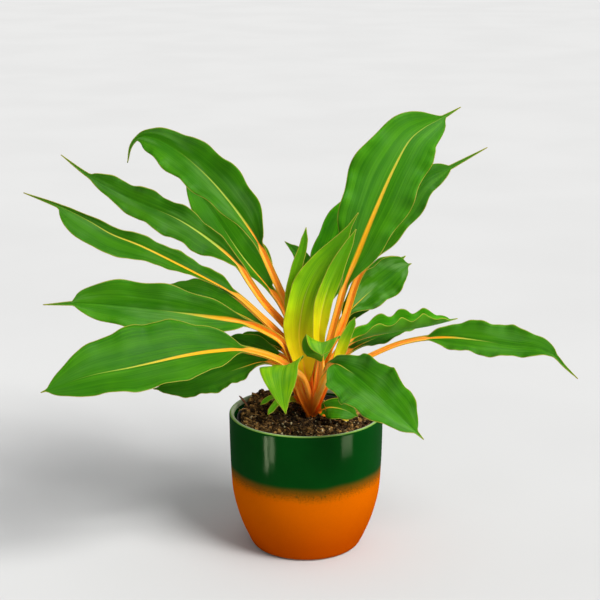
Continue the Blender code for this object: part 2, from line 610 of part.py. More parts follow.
def make_crown(group):
    """Stem in the soil with the clasping foot of every stalk, joined to one body."""
    parts = new_collection("crown_parts")
    depth = CROWN_HEIGHT - CROWN_FOOT
    bpy.ops.mesh.primitive_cone_add(
        vertices=CROWN_SIDES, radius1=CROWN_RADIUS * MM, radius2=CROWN_TOP_RADIUS * MM, depth=depth * MM,
        location=(CROWN_PLACE[0] * MM, CROWN_PLACE[1] * MM, (CROWN_FOOT + depth / 2) * MM))
    stem = bpy.context.object
    stem.name = "crown"
    move_to(stem, group)
    for leaf in LEAVES:
        _, length = smooth_route(leaf.stalk + leaf.blade)
        share = np.linspace(0.0, leaf.sheath / length, SHEATH_STEPS + 1)
        sheath = sheet_object(leaf.name + "_sheath", leaf_surface(leaf, share, SHEATH_ACROSS), parts)
        thicken(sheath, stalk_thickness(leaf), np.ones(len(sheath.data.vertices)))
        baked(sheath)
    join = stem.modifiers.new("sheaths", "BOOLEAN")
    join.operation = "UNION"
    join.operand_type = "COLLECTION"
    join.collection = parts
    baked(stem)
    fill_sealed_hollows(stem)
    for sheath in list(parts.objects):
        bpy.data.objects.remove(sheath, do_unlink=True)
    bpy.data.collections.remove(parts)
    return finish(stem, STALK_ORANGE, 0.4)


def build():
    """Clear the scene and make the potted plant."""
    clear_scene()
    plant = new_collection("potted_spider_plant")
    cutters = new_collection("cutters")
    make_cover_pot(plant)
    make_grow_pot(plant)
    make_soil(plant, cutters)
    make_crown(plant)
    for leaf in LEAVES:
        make_leaf(leaf, plant)


build()
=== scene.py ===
"""The looks of a potted spider plant, laid out as a Blender add-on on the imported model.

Broad waved leaves on orange channelled stalks stand in dark peat, in a glazed cover pot. Every
piece is a surface worked out on a grid with numpy. Lengths in tables, profiles and grids are
millimetres, and meshes and settings are metres.
"""
from functools import partialmethod
from math import radians
from typing import NamedTuple

import bpy
import numpy as np
from bpy.props import FloatProperty, FloatVectorProperty, IntProperty
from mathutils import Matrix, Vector


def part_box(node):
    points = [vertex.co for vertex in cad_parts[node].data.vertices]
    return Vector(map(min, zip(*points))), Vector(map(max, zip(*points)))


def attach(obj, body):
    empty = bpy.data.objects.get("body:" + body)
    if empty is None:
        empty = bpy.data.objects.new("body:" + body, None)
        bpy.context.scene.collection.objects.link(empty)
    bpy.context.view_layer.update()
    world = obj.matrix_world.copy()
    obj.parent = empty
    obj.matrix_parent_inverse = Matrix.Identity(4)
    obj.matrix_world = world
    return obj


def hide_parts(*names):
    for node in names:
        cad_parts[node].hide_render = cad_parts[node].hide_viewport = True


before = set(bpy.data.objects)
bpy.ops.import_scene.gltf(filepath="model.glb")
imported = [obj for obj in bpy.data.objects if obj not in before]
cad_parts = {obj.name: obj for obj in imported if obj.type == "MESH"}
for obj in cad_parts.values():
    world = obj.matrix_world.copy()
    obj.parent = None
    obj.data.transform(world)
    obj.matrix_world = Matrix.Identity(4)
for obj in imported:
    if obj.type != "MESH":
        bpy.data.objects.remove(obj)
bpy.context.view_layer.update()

bl_info = {
    "name": "Potted spider plant",
    "version": (1, 0, 0),
    "blender": (4, 5, 0),
    "location": "3D View > Sidebar > Plant",
    "description": "Makes a potted spider plant with its pot, soil, stalks and leaves",
    "category": "Add Mesh",
}

MM = 0.001
POT_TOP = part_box("cover_pot")[1].z
POT_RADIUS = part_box("cover_pot")[1].x
GROW_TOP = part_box("grow_pot")[1].z / MM

# Cover pot, in shares of its height and radius, up its outer side
POT_SIDE = ((0.652, 0), (0.69, 0.0055), (0.72, 0.0215), (0.788, 0.0985), (0.856, 0.1885),
            (0.9155, 0.295), (0.96, 0.41), (0.9835, 0.574), (0.9955, 0.779), (1, 0.967))
POT_WALL = 4.0
POT_FLOOR = 6.0
POT_CORNER = 3.2

# Grow pot and soil
GROW_FOOT_RADIUS = 43.5
GROW_RADIUS = 61.0
GROW_WALL = 1.4
GROW_LIP = 1.2
GROW_LIP_HEIGHT = 7.0
SOIL_TOP = 113.0
SOIL_EDGE_DROP = 2.5
SOIL_MOUND = 15.0
SOIL_MOUND_PLACE = (-42.0, 38.0)
SOIL_MOUND_SPREAD = 24.0
FLECK_SIZE = 1.6
CRUMB_SEED, FIBRE_SEED, FLECK_SEED = 11, 23, 37
BARK_PLACE = (-55.0, 14.0, 124.0)
BARK_FRAME = ((30.0, 8.0, 0.0), (-4.0, 5.0, 5.0), (-4.5, 1.0, 6.0))

# Crown, stalks and blades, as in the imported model
CROWN_PLACE = (5.0, 7.0)
CROWN_FOOT = 88.0
CROWN_RADIUS = 6.2
CROWN_HEIGHT = 122.0
CROWN_TOP_RADIUS = 4.5
STALK_HALF = 5.0
STALK_FOLD = 52.0
CROWN_PINCH = 0.45
CROWN_PINCH_LENGTH = 22.0
CROWN_FACE_SHARE = 0.2
OPENS_BEFORE = 0.08
OPENS_OVER = 0.3
TAIL_HALF = 2.4
TAIL_OPENS = 0.05
TIP_HALF = 0.35
TIP_FOLD = 12.0
TIP_FLATTENS = 0.3
SIDE_CURVE = 1.4
WAVE_REACH = 2.2
WAVE_SCALLOP = 0.55
WAVE_LAG = 0.2
RIPPLES_IN_WAVE = 2.7
RIPPLE_LAG = 2.0
ROUTE_COUNT = 181
ROUTE_FINE = 905

# Thickness of the finished leaves, and the sheaths that the crown and the stalks share
STALK_THICK = 2.0
EDGE_THICK = 0.3
RIB_KEEL = 0.8
RIB_GROOVE = 0.35
RIB_WIDTH = 1.1
RIB_STARTS = 0.15
STALK_THINS = 0.45
SIDES_THIN = 0.2
HIDDEN_LENGTH = 12.0
SHEATH_RISES = 4.0
SHEATH_SINKS = 9.0
SHEATH_TONE_LENGTH = 40.0

# Points around each turned grid, other rows, and the cells of the noise's lattice
POT_AROUND = 160
POT_ROWS = 80
GROW_AROUND = 128
SOIL_AROUND = 260
SOIL_ROWS = 68
STEM_AROUND = 32
SHEATH_ROWS = 30
FLOOR_AROUND = 96
LATTICE = 64

# Leaf grids: rows along the leaf, and places in each half, which crowd near the midrib
LARGE = (130, 15)
MIDDLE = (90, 12)
SMALL = (60, 9)
CROWDING = 1.5
FIRST_PLACE = 0.004

# Colours beside those of the settings
BROWN_GRAIN = (0.1, 0.02, 0)
BARE_CLAY = (0.55, 0.38, 0.24)
DUST = (0.07, 0.05, 0.035)
DARK_FLECK = (0.3, 0.16, 0.05)
PALE_SHEATH = (0.95, 0.25, 0.02)
DRY_LEAF = ((0.6, 0.4, 0.03), (0.72, 0.55, 0.1))
SUNLIGHT = (1, 0.985, 0.96)
CARD_LIGHT = (0.9, 1, 0.62)

# Low lights that show in the glaze, each with its share of their power, its place and size
CARDS = {"card_right": (1.0, (0.22, -0.15, 0.047), (0.075, 0.05)),
         "card_left": (0.7, (-0.185, -0.18, 0.044), (0.032, 0.06)),
         "card_far_left": (0.7, (-0.215, -0.155, 0.026), (0.026, 0.056))}
FLOOR_RADIUS = 9.0


class Leaf(NamedTuple):
    """One leaf. Its midrib runs through the points of stalk and then of blade.

    left and right give each half of the blade, seen on its upper side with the tip up: its
    widest half-width, where along the blade that lies, and how fast it narrows from there.
    faces says where the upper side looks at the crown, at the foot of the blade and, where that
    differs, at its tip. fold is the angle by which each half rises from the midrib. tail is the
    share of the blade that is its thin tip. wave is the height of the waved edge, the number of
    waves and the place of the first. sheath is the length of stalk grown together with the crown,
    and stalk_half half its width. mesh is the grid of the leaf, and kind its material. rib is the
    coloured midrib's half-width at the foot, and the share of the blade over which it fades.
    sheen is how much painted sheen, a pale painted reflection of the sky, lies on the blade;
    light how much lighter it is than most, partly as painted light on leaves that lie in shade;
    yellow the share of a young blade that is still yellow, greens the share of its length at
    which the midrib has turned pale green, and ripples how strong the short ripples are.
    """

    name: str
    stalk: tuple
    blade: tuple
    left: tuple
    right: tuple
    faces: tuple
    fold: float = 20
    tail: float = 0.05
    wave: tuple = (1, 2, 0)
    sheath: float = 40
    stalk_half: float = STALK_HALF
    mesh: tuple = LARGE
    kind: str = "green_leaf"
    rib: tuple = (0.5, 0.3)
    # Share of painted sheen: a pale painted reflection of the sky on the blade
    sheen: float = 0.1
    # light is partly painted light: it lifts leaves that lie in shade
    light: float = 1
    yellow: float = 0
    greens: float = 0.9
    ripples: float = 1


LEAVES = (
    Leaf("leaf_top_left", ((5, 9, 116), (2, 15, 145), (-4, 19, 180), (-17, 18, 213),
        (-30, 23, 242), (-41, 29, 265)), ((-50, 33, 279), (-68, 45, 301), (-89, 58, 322),
        (-114, 70, 341), (-134, 76, 351), (-148, 79, 352), (-156, 81, 344), (-160, 82, 328)),
        (21, 0.66, 1.7), (24, 0.38, 1.3), ((0.3, -1, 0), (0, -1, 0.3)), 18, 0.14, (2.5, 5, 0.1),
        rib=(1.3, 0.6), sheen=0.3, light=1.15, greens=0.3),
    Leaf("leaf_left_behind", ((5, 11, 116), (0, 20, 140), (-8, 27, 174), (-21, 28, 208),
        (-33, 38, 223)), ((-57, 60, 247), (-83, 92, 278), (-99, 108, 298), (-111, 120, 319)),
        (18, 0.6, 1.5), (22, 0.35, 1.3), ((0.3, -1, 0), (0.3, -1, 0.4), (0, -1, 0.4)), 20, 0.08,
        (2, 3, 0.3), rib=(0.9, 0.5), greens=0.5),
    Leaf("leaf_left_long_upper", ((4, 8, 116), (-1, 9, 145), (-7, 11, 176), (-16, 11, 193),
        (-37, 8, 218), (-49, 7, 236), (-59, 7, 252)), ((-80, 13, 270), (-109, 18, 289),
        (-138, 24, 301), (-162, 28, 311), (-189, 32, 326), (-212, 36, 343)), (19, 0.4, 1.5),
        (13, 0.6, 1.1), ((0.3, -1, 0), (0.2, -1, 0.5), (0, -1, 0.5)), 15, 0.17, (2.5, 5, 0.2),
        rib=(1.7, 0.45), sheen=0.2, light=0.8, greens=0.35),
    Leaf("leaf_left_long_lower", ((4, 6, 116), (-3, 3, 145), (-14, 3, 177), (-43, -4, 210),
        (-66, -10, 232)), ((-81, -13, 242), (-107, -15, 257), (-140, -18, 275), (-164, -18, 285),
        (-182, -18, 296), (-206, -16, 308), (-237, -12, 319)), (22, 0.68, 1.7), (10, 0.3, 1.2),
        ((0.3, -1, 0.5), (0.4, -0.5, 0.75), (0, -1, 0.1)), 30, 0.17, (1.4, 5, 0.6),
        rib=(1.5, 0.85), sheen=0.15, light=0.75),
    Leaf("leaf_left_middle", ((3, 5, 116), (-6, -3, 145), (-19, -8, 185), (-36, -15, 200),
        (-53, -22, 209)), ((-84, -32, 217), (-104, -36, 221), (-147, -42, 228), (-184, -45, 232),
        (-219, -46, 231)), (20, 0.5, 1.2), (23, 0.6, 1.2), ((0.3, -1, 0.5), (0, -1, 0.3)), 15,
        0.15, (2.5, 4, 0.2), rib=(2.8, 0.42), sheen=0.3, ripples=0.5),
    Leaf("leaf_left_inner", ((3, 8, 116), (-8, 9, 145), (-18, 10, 176), (-42, 22, 194)),
        ((-74, 45, 204), (-101, 65, 208), (-127, 82, 206), (-152, 94, 198)), (18, 0.5, 1.4),
        (17, 0.5, 1.4), ((0.3, -1, 0.5), (0.1, -0.7, 0.9), (0, -0.7, 0.8)), 15, 0.05, (2, 3, 0.2),
        rib=(0.8, 0.3), sheen=0.15, light=1.25),
    Leaf("leaf_front_left", ((3, 4, 116), (-4, -8, 138), (-12, -20, 162), (-23, -30, 176),
        (-55, -50, 192)), ((-74, -61, 195), (-97, -75, 196), (-141, -95, 192), (-175, -106, 188),
        (-212, -114, 177)), (32, 0.5, 1.3), (34, 0.48, 1.6), ((0, -1, 0.5), (0, -0.65, 0.75)), 20,
        0.03, (1.8, 4.5, 0.5), rib=(2.2, 0.8), sheen=0.08, light=0.85, ripples=0.5),
    Leaf("leaf_low_left", ((2, 7, 116), (-8, 4, 138), (-20, 2, 160), (-36, 4, 165)),
        ((-58, 6, 159), (-84, 4, 150), (-111, 2, 143), (-134, 0, 142)), (17, 0.45, 1.4),
        (16, 0.5, 1.4), ((0, -1, 0.5), (0.1, -0.7, 0.9), (0, -0.8, 0.8)), 15, 0.04, (2, 4, 0.2),
        mesh=MIDDLE, rib=(0.7, 0.3), sheen=0.05, light=0.8),
    Leaf("leaf_small_left", ((3, 10, 116), (-5, 16, 142), (-14, 19, 159), (-26, 24, 165)),
        ((-42, 33, 170), (-56, 40, 173), (-70, 46, 176)), (9, 0.5, 1.4), (9, 0.5, 1.4),
        ((0, -1, 0.5), (0.1, -0.8, 0.6), (0, -0.8, 0.6)), mesh=SMALL),
    Leaf("leaf_small_left_back", ((3, 12, 116), (-4, 20, 142), (-13, 28, 160), (-22, 33, 168)),
        ((-36, 40, 173), (-48, 46, 176), (-60, 51, 175)), (6, 0.5, 1.4), (6, 0.5, 1.4),
        ((0, -1, 0.5), (0.1, -0.8, 0.6), (0, -0.8, 0.6)), stalk_half=3.5, mesh=SMALL),
    Leaf("leaf_hanging_front", ((4, 4, 116), (3, -10, 136), (-2, -25, 158), (-11, -41, 172)),
        ((-17, -55, 181), (-20, -65, 177), (-20, -71, 163), (-17, -75, 145)), (15, 0.3, 1.4),
        (21, 0.28, 1.7), ((0, 1, 0.5), (-0.4, 0, 0.9), (0.1, -1, 0.3)), 10, 0.05, (1.5, 2, 0),
        stalk_half=4, mesh=SMALL, kind="young_leaf", rib=(0.4, 0.3)),
    Leaf("leaf_front_right", ((5, 4, 116), (9, -13, 135), (15, -33, 155), (18, -47, 172),
        (24, -55, 182)), ((37, -71, 180), (51, -89, 174), (67, -106, 163), (94, -116, 138)),
        (23, 0.52, 1.4), (26, 0.38, 1.3), ((0, 1, 0.7), (-0.5, -0.5, 0.6), (0.2, -1, 0.5)), 15,
        0.08, (3, 4, 0.3), rib=(0.5, 0.22), sheen=0.35, greens=0.3),
    Leaf("leaf_far_right", ((7, 5, 116), (12, 2, 133), (20, -3, 149), (36, -7, 164),
        (56, -12, 176), (81, -16, 188), (105, -20, 194)), ((123, -24, 196), (148, -30, 195),
        (174, -34, 192), (195, -38, 191), (208, -40, 186), (218, -43, 176), (229, -45, 166)),
        (17, 0.5, 1.4), (14, 0.4, 1.2), ((0, -1, 0.5), (0, -0.8, 0.6), (0.1, -0.8, 0.6)), 15, 0.2,
        (2.5, 4, 0.2), stalk_half=3.5, rib=(1.4, 0.4), sheen=0.15, greens=0.7),
    Leaf("leaf_right_wavy", ((7, 7, 116), (12, 7, 135), (19, 8, 155), (30, 9, 173), (42, 11, 182)),
        ((57, 14, 187), (83, 22, 189), (113, 30, 192), (135, 36, 196)), (16, 0.5, 1), (18, 0.5, 1),
        ((0, -1, 0.5), (0, -0.3, 1), (0, -0.1, 1)), 58, 0.07, (3, 4.5, 0.2), rib=(3.2, 0.5),
        sheen=0, light=1.8, ripples=0.15),
    Leaf("leaf_right_under", ((7, 8, 116), (15, 11, 138), (28, 17, 160), (42, 26, 170)),
        ((62, 44, 175), (89, 66, 178), (112, 86, 180)), (10, 0.5, 1.4), (9, 0.4, 1.4),
        ((0, -1, 0.5), (0, -0.6, 0.9)), 15, 0.05, (2, 2, 0), mesh=MIDDLE, rib=(1, 0.3)),
    Leaf("leaf_right_folded", ((7, 10, 116), (13, 17, 145), (20, 23, 170), (32, 28, 195),
        (38, 31, 203)), ((52, 40, 215), (70, 50, 228), (84, 57, 237), (95, 62, 240)),
        (17, 0.55, 1), (18, 0.55, 1.2), ((0, -1, 0.2), (0, -0.9, 0.4), (0.2, -0.9, 0.4)), 20, 0.06,
        (2, 3, 0), mesh=MIDDLE, rib=(0.5, 0.4), sheen=0.6),
    Leaf("leaf_right_back", ((7, 12, 116), (14, 23, 144), (22, 34, 170), (35, 46, 188)),
        ((49, 60, 207), (72, 82, 227), (92, 96, 239)), (15, 0.5, 1.2), (15, 0.5, 1.2),
        ((0, -1, 0.2), (0, -0.8, 0.5)), 20, 0.05, (2, 3, 0), mesh=MIDDLE, rib=(0.8, 0.4),
        sheen=0.3),
    Leaf("leaf_top_right", ((6, 6, 116), (12, 2, 145), (19, 1, 180), (27, 3, 210), (34, 6, 235)),
        ((44, 9, 260), (58, 14, 295), (76, 26, 334), (90, 38, 356), (103, 48, 365), (117, 57, 371),
        (136, 68, 380)), (35, 0.52, 2.2), (28, 0.58, 1.3), ((0, -1, 0), (-0.2, -1, 0),
        (0.1, -1, 0.3)), 12, 0.1, (3, 4, 0.2), rib=(2.6, 0.9), light=1.1),
    Leaf("leaf_top_right_back", ((6, 10, 116), (13, 14, 150), (19, 14, 172), (32, 18, 196),
        (46, 27, 236), (55, 31, 250)), ((72, 42, 272), (90, 56, 295), (107, 66, 315),
        (131, 76, 326), (163, 88, 341)), (18, 0.5, 1.3), (14, 0.55, 1.3), ((0, -1, 0),
        (-0.2, -1, 0), (0.1, -1, 0.5)), 15, 0.26, (2, 4, 0.2), rib=(0.9, 0.5), sheen=0.15),
    Leaf("leaf_back_centre", ((5, 11, 116), (6, 20, 145), (9, 28, 176), (14, 38, 206)),
        ((23, 60, 242), (32, 78, 272), (46, 92, 301)), (20, 0.42, 1.1), (18, 0.4, 1.2),
        ((0, -1, 0), (0, -1, 0.3)), 20, 0.05, (2, 3, 0), mesh=MIDDLE, rib=(0.8, 0.4), sheen=0.2,
        light=2.7),
    Leaf("leaf_small_back", ((4, 11, 116), (2, 26, 146), (2, 36, 180), (1, 47, 211)),
        ((-1, 60, 236), (-6, 66, 247), (-19, 72, 258)), (8, 0.4, 1.4), (10, 0.4, 1.4), ((0, -1, 0),
        (0, -1, 0.3)), 20, 0.1, stalk_half=3.5, mesh=SMALL, sheen=0.3, light=1.7),
    Leaf("leaf_centre_tall", ((5, 5, 116), (3, -2, 136), (0, -8, 155)), ((-3, -10, 173),
        (-6, -10, 190), (-5, -9, 208), (0, -7, 231), (11, -5, 253), (26, -4, 271), (44, -3, 300)),
        (14.5, 0.45, 1.6), (18.5, 0.4, 1.6), ((0, -1, 0), (0, -1, 0), (0.2, -1, 0.3)), 14, 0.08,
        (1.5, 4, 0), kind="young_leaf", rib=(1.2, 0.6), sheen=0.05, light=1.3, yellow=0.55),
    Leaf("leaf_centre_right", ((6, 5, 116), (8, -6, 135), (10, -13, 157), (12, -19, 180)),
        ((11, -23, 200), (13, -23, 218), (19, -20, 240), (29, -17, 262), (42, -13, 288)),
        (8, 0.5, 1.7), (8, 0.5, 1.7), ((0, -1, 0), (0, -1, 0), (0, -1, 0.2)), 25, 0.05, (1, 3, 0),
        mesh=MIDDLE, kind="young_leaf", rib=(1, 0.6), sheen=0.05, light=1.1, yellow=0.6),
    Leaf("leaf_centre_narrow", ((5, 7, 116), (4, 4, 140), (1, 1, 165), (-8, -1, 190)),
        ((-13, 0, 208), (-12, 2, 228), (-8, 4, 250), (-3, 6, 266), (0, 8, 285)), (6, 0.4, 1.2),
        (5, 0.4, 1.2), ((0, -1, 0), (0, -1, 0), (0, -1, 0.2)), 25, 0.05, (0.5, 3, 0),
        stalk_half=3.5, mesh=SMALL, kind="young_leaf", rib=(0.5, 0.4), sheen=0, light=1.1,
        yellow=0.55),
    Leaf("leaf_small_folded", ((6, 4, 116), (11, -11, 138), (14, -24, 159), (14, -32, 178)),
        ((14, -35, 191), (13, -42, 197), (13, -51, 188)), (17, 0.4, 1), (17, 0.4, 1), ((0, 1, 0.5),
        (-0.2, 0.2, 1), (0, -1, 0.5)), 22, 0.05, (1.5, 2, 0), stalk_half=3.5, mesh=SMALL,
        kind="young_leaf", rib=(0.4, 0.2), sheen=0.2, light=1.5),
    Leaf("leaf_small_yellow", ((7, 4, 116), (15, -6, 140), (23, -13, 161)), ((30, -15, 182),
        (35, -13, 194), (42, -9, 210)), (5, 0.5, 1.4), (4, 0.5, 1.4), ((0, -1, 0), (0, -1, 0),
        (0, -1, 0.2)), 20, 0.05, (0.5, 2, 0), stalk_half=3, mesh=SMALL, kind="young_leaf",
        rib=(0.3, 0.3), sheen=0, light=1.1, yellow=0.8),
    Leaf("leaf_soil_right", ((7, 5, 116), (12, -5, 123)), ((20, -12, 129), (32, -17, 129),
        (45, -18, 123)), (9, 0.58, 2), (11, 0.5, 1.4), ((0, -1, 0.5), (0, -1, 0.6)), 15, sheath=18,
        stalk_half=3, mesh=SMALL, rib=(0.9, 0.8), light=1.2),
    Leaf("leaf_soil_left", ((3, 6, 116), (-3, 2, 126)), ((-12, -4, 133), (-23, -14, 135),
        (-33, -28, 128)), (4.6, 0.4, 2), (4.6, 0.4, 2), ((0, -1, 0.5), (0, -0.5, 1)), 15,
        sheath=22, stalk_half=3, mesh=SMALL, rib=(0.4, 0.3), sheen=0, yellow=0.15),
    Leaf("leaf_soil_left_back", ((3, 9, 116), (-4, 8, 127)), ((-16, 4, 133), (-29, -2, 135),
        (-40, -8, 130)), (2.6, 0.45, 2), (2.6, 0.45, 2), ((0, -1, 0.5), (0, -0.5, 1)), 15, 0.05,
        (0.5, 2, 0), sheath=22, stalk_half=2.5, mesh=SMALL, rib=(0.3, 0.3), sheen=0, yellow=0.15),
    Leaf("leaf_soil_dry", ((8, 6, 116), (15, 5, 120)), ((22, 4, 120), (29, 1, 118),
        (37, -8, 114.5)), (2.2, 0.45, 1.4), (2.2, 0.45, 1.4), ((0, -1, 0.5), (0, -0.5, 1)), 15,
        0.05, (0.5, 2, 0), sheath=12, stalk_half=2, mesh=SMALL, kind="dry_leaf", rib=(0.2, 0.3),
        sheen=0),
)


# Settings

def setting(kind, **fixed):
    """A kind of setting, which is then given its name, its description and its default."""
    return lambda name, description, default: kind(name=name, description=description,
                                                   default=default, **fixed)


tint = setting(FloatVectorProperty, subtype="COLOR")
spot = setting(FloatVectorProperty, unit="LENGTH")
metres = setting(FloatProperty, unit="LENGTH")
turn = setting(FloatProperty, subtype="ANGLE")
factor = setting(FloatProperty, subtype="FACTOR")
watts = setting(FloatProperty, unit="POWER")
plain = setting(FloatProperty)
amount = setting(IntProperty)


class PotSettings(bpy.types.PropertyGroup):
    """Sizes and colours of the cover pot and of the grow pot in it."""

    height: metres("Height", "Height of the cover pot", POT_TOP)
    radius: metres("Radius", "Widest radius of the cover pot", POT_RADIUS)
    glaze_line: metres("Glaze line", "Height at which green turns to orange", 0.069)
    glaze_fade: metres("Glaze fade", "Half the height of the sprayed change", 0.0085)
    green: tint("Green glaze", "Glossy glaze of the upper half", (0.0002, 0.042, 0.0025))
    orange: tint("Orange glaze", "Satin glaze of the lower half", (0.62, 0.122, 0.0002))
    # Painted shade: the orange is made darker toward the foot
    shaded_orange: tint("Deep orange", "Thicker glaze near the foot", (0.47, 0.066, 0.0002))
    crest: tint("Crest", "Thin yellow-green glaze on the lip", (0.2, 0.36, 0.07))
    # Painted light: the pale green down the inner side of the lip stands for light falling on it
    lip: tint("Lip", "Thin pale glaze inside the lip", (0.31, 0.38, 0.24))
    plastic: tint("Grow pot", "Plastic of the grow pot", (0.014, 0.014, 0.013))


class SoilSettings(bpy.types.PropertyGroup):
    """Amounts and colours of the potting soil."""

    crumbs: amount("Crumbs", "Loose crumbs of peat on the soil", 1500)
    crumb_size: metres("Crumb size", "Radius of the largest crumbs", 0.0024)
    fibres: amount("Fibres", "Loose root and bark fibres", 240)
    flecks: amount("Flecks", "Pale bits of bark and straw", 240)
    peat: tint("Peat", "Dark moist peat", (0.007, 0.004, 0.002))
    dry_peat: tint("Dry peat", "Brown of the drier crumbs", (0.62, 0.34, 0.1))
    fibre: tint("Fibre", "Reddish brown fibres", (0.16, 0.055, 0.022))
    fleck: tint("Fleck", "Pale yellow bits", (0.66, 0.55, 0.3))


class LeafSettings(bpy.types.PropertyGroup):
    """Sizes and colours of the stalks and the blades."""

    blade_thickness: metres("Blade thickness", "Thickness beside the midrib", 0.0006)
    ripple: factor("Ripple", "Small ripples on top of the waved edge", 0.42)
    through: factor("Light through", "Share of the light that passes inside", 0.35)
    stalk: tint("Stalk", "Orange of the stalks", (1, 0.33, 0.015))
    pale_stalk: tint("Pale stalk", "Yellower streaks of the stalks", (1, 0.56, 0.11))
    olive: tint("Stalk edge", "Edges of a stalk below its blade", (0.24, 0.25, 0.02))
    crown: tint("Crown", "Orange-red at the foot of the stalks", (0.98, 0.2, 0.008))
    rib: tint("Midrib", "Yellow of the midrib halfway up the blade", (0.8, 0.38, 0.012))
    rib_end: tint("Midrib end", "Pale green of the midrib's end", (0.38, 0.48, 0.06))
    margin: tint("Margin", "Pale line along the edge", (0.38, 0.3, 0.045))
    green: tint("Leaf green", "Upper side of the grown leaves", (0.022, 0.135, 0.002))
    light_green: tint("Light green", "Lighter streaks", (0.06, 0.235, 0.004))
    # Painted sheen: the pale dull green of a painted reflection of the sky on the blades
    painted_sheen: tint("Bloom", "Pale dull green where the sky shines on it", (0.12, 0.28, 0.06))
    under: tint("Underside", "Duller green of the underside", (0.048, 0.16, 0.005))
    young: tint("Young leaf", "Yellow-green of the young leaves", (0.25, 0.46, 0.002))
    yellow: tint("Young foot", "Yellow foot of the young leaves", (0.98, 0.7, 0.006))


class StageSettings(bpy.types.PropertyGroup):
    """Floor, light and camera."""

    floor: tint("Floor", "Plain pale floor", (0.58, 0.585, 0.59))
    key: plain("Key light", "Strength of the soft light from the right", 4.0)
    key_width: turn("Key width", "Width of the soft light as an angle", radians(28))
    key_place: spot("Key place", "Where the soft light shines from", (0.95, -0.85, 1.25))
    cards: watts("Cards", "Power of the low lights that the glaze mirrors", 0.34)
    sky: plain("Sky", "Strength of the even light from overhead", 0.66)
    horizon: plain("Horizon", "Strength of the even light from the side", 0.12)
    camera_place: spot("Camera", "Place of the camera", (-0.0053, -1.249, 0.559))
    camera_pitch: turn("Camera pitch", "Turn of the camera up from below", radians(74.93))
    lens: plain("Lens", "Focal length for a 36 mm wide picture", 90.0)


# Grids and meshes

def smoothstep(x):
    """3 x^2 - 2 x^3, for x held between 0 and 1."""
    x = np.clip(x, 0, 1)
    return x * x * (3 - 2 * x)


def unit(v):
    """The vectors divided by their lengths."""
    v = np.asarray(v, float)
    return v / np.linalg.norm(v, axis=-1, keepdims=True)


def ring_skin(rings):
    """Vertices and faces of a closed skin through rings of points.

    rings[i, j] is point j of ring i. It joins point j + 1 of its ring, the last one the first,
    and the same two points of ring i + 1. Each end closes in a fan to the mean of its ring.
    """
    rows, columns = rings.shape[:2]
    verts = np.concatenate((rings.reshape(-1, 3), [rings[0].mean(0), rings[-1].mean(0)]))
    here = np.arange(columns)
    after = np.roll(here, -1)
    start = (np.arange(rows - 1) * columns)[:, None]
    quads = np.stack((start + here, start + after, start + columns + after,
                      start + columns + here), -1).reshape(-1, 4)
    last = (rows - 1) * columns
    pole = np.full(columns, rows * columns)
    fans = np.concatenate((np.stack((pole, after, here), 1),
                           np.stack((pole + 1, last + here, last + after), 1)))
    return verts, quads.tolist() + fans.tolist()


def turned_rings(profile, around):
    """Rings of a turned body: radius r and height z of the profile, at even angles a.

    x = r cos a, y = r sin a. The profile starts under the body and runs up its outer side, so
    that the faces look out.
    """
    angle = np.linspace(0, 2 * np.pi, around, endpoint=False)
    radius, height = np.asarray(profile, float).T[..., None]
    level = np.broadcast_to(height, (len(height), around))
    return np.stack((radius * np.cos(angle), radius * np.sin(angle), level), -1)


def smooth_profile(points, count):
    """Evenly spaced points of the smooth curve through the profile's points."""
    flat = np.concatenate((points, np.zeros((len(points), 1))), 1)
    return read_along(smooth_route(flat)[0], np.linspace(0, 1, count))[:, :2]


def arc(centre, radius, start, stop, count):
    """Points of an arc, between two angles in degrees."""
    angle = np.radians(np.linspace(start, stop, count))
    return centre + radius * np.stack((np.cos(angle), np.sin(angle)), 1)


def lattice_noise(x, y, cell, seed):
    """Smooth noise between 0 and 1: random values at the corners of cells, eased between them."""
    lattice = np.random.default_rng(seed).random((LATTICE, LATTICE))
    x, y = x / cell + LATTICE // 2 - 1, y / cell + LATTICE // 2 - 1
    i, j = np.floor(x).astype(int), np.floor(y).astype(int)
    u, v = smoothstep(x - i), smoothstep(y - j)
    i, j = i % (LATTICE - 1), j % (LATTICE - 1)
    return ((lattice[i, j] * (1 - u) + lattice[i + 1, j] * u) * (1 - v)
            + (lattice[i, j + 1] * (1 - u) + lattice[i + 1, j + 1] * u) * v)


def scattered(skin, frames, places):
    """Copies of a small shape: each vertex times a 3 by 3 frame of its own, plus a place."""
    verts, faces = skin
    points = np.einsum("vk,nkl->nvl", verts, frames) + places[:, None]
    step = (np.arange(len(places)) * len(verts))[:, None, None]
    grown = []
    for size in (3, 4):
        group = np.array([face for face in faces if len(face) == size])
        grown += (group + step).reshape(-1, size).tolist()
    return points.reshape(-1, 3), grown


def placed(name, data):
    """A new object in the scene."""
    thing = bpy.data.objects.new(name, data)
    bpy.context.scene.collection.objects.link(thing)
    return thing


def add_piece(name, skin, material, nodes=(), values=()):
    """A piece from vertices in millimetres and faces, with its values at the vertices."""
    verts, faces = skin
    mesh = bpy.data.meshes.new(name)
    mesh.from_pydata(np.asarray(verts) * MM, [], faces)
    for key, value in dict(values).items():
        layer = mesh.attributes.new(key, "FLOAT", "POINT")
        layer.data.foreach_set("value", np.asarray(value, np.float32))
    mesh.shade_smooth()
    mesh.materials.append(material)
    piece = placed(name, mesh)
    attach(piece, "root")
    if nodes:
        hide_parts(*nodes)


# Leaf shape

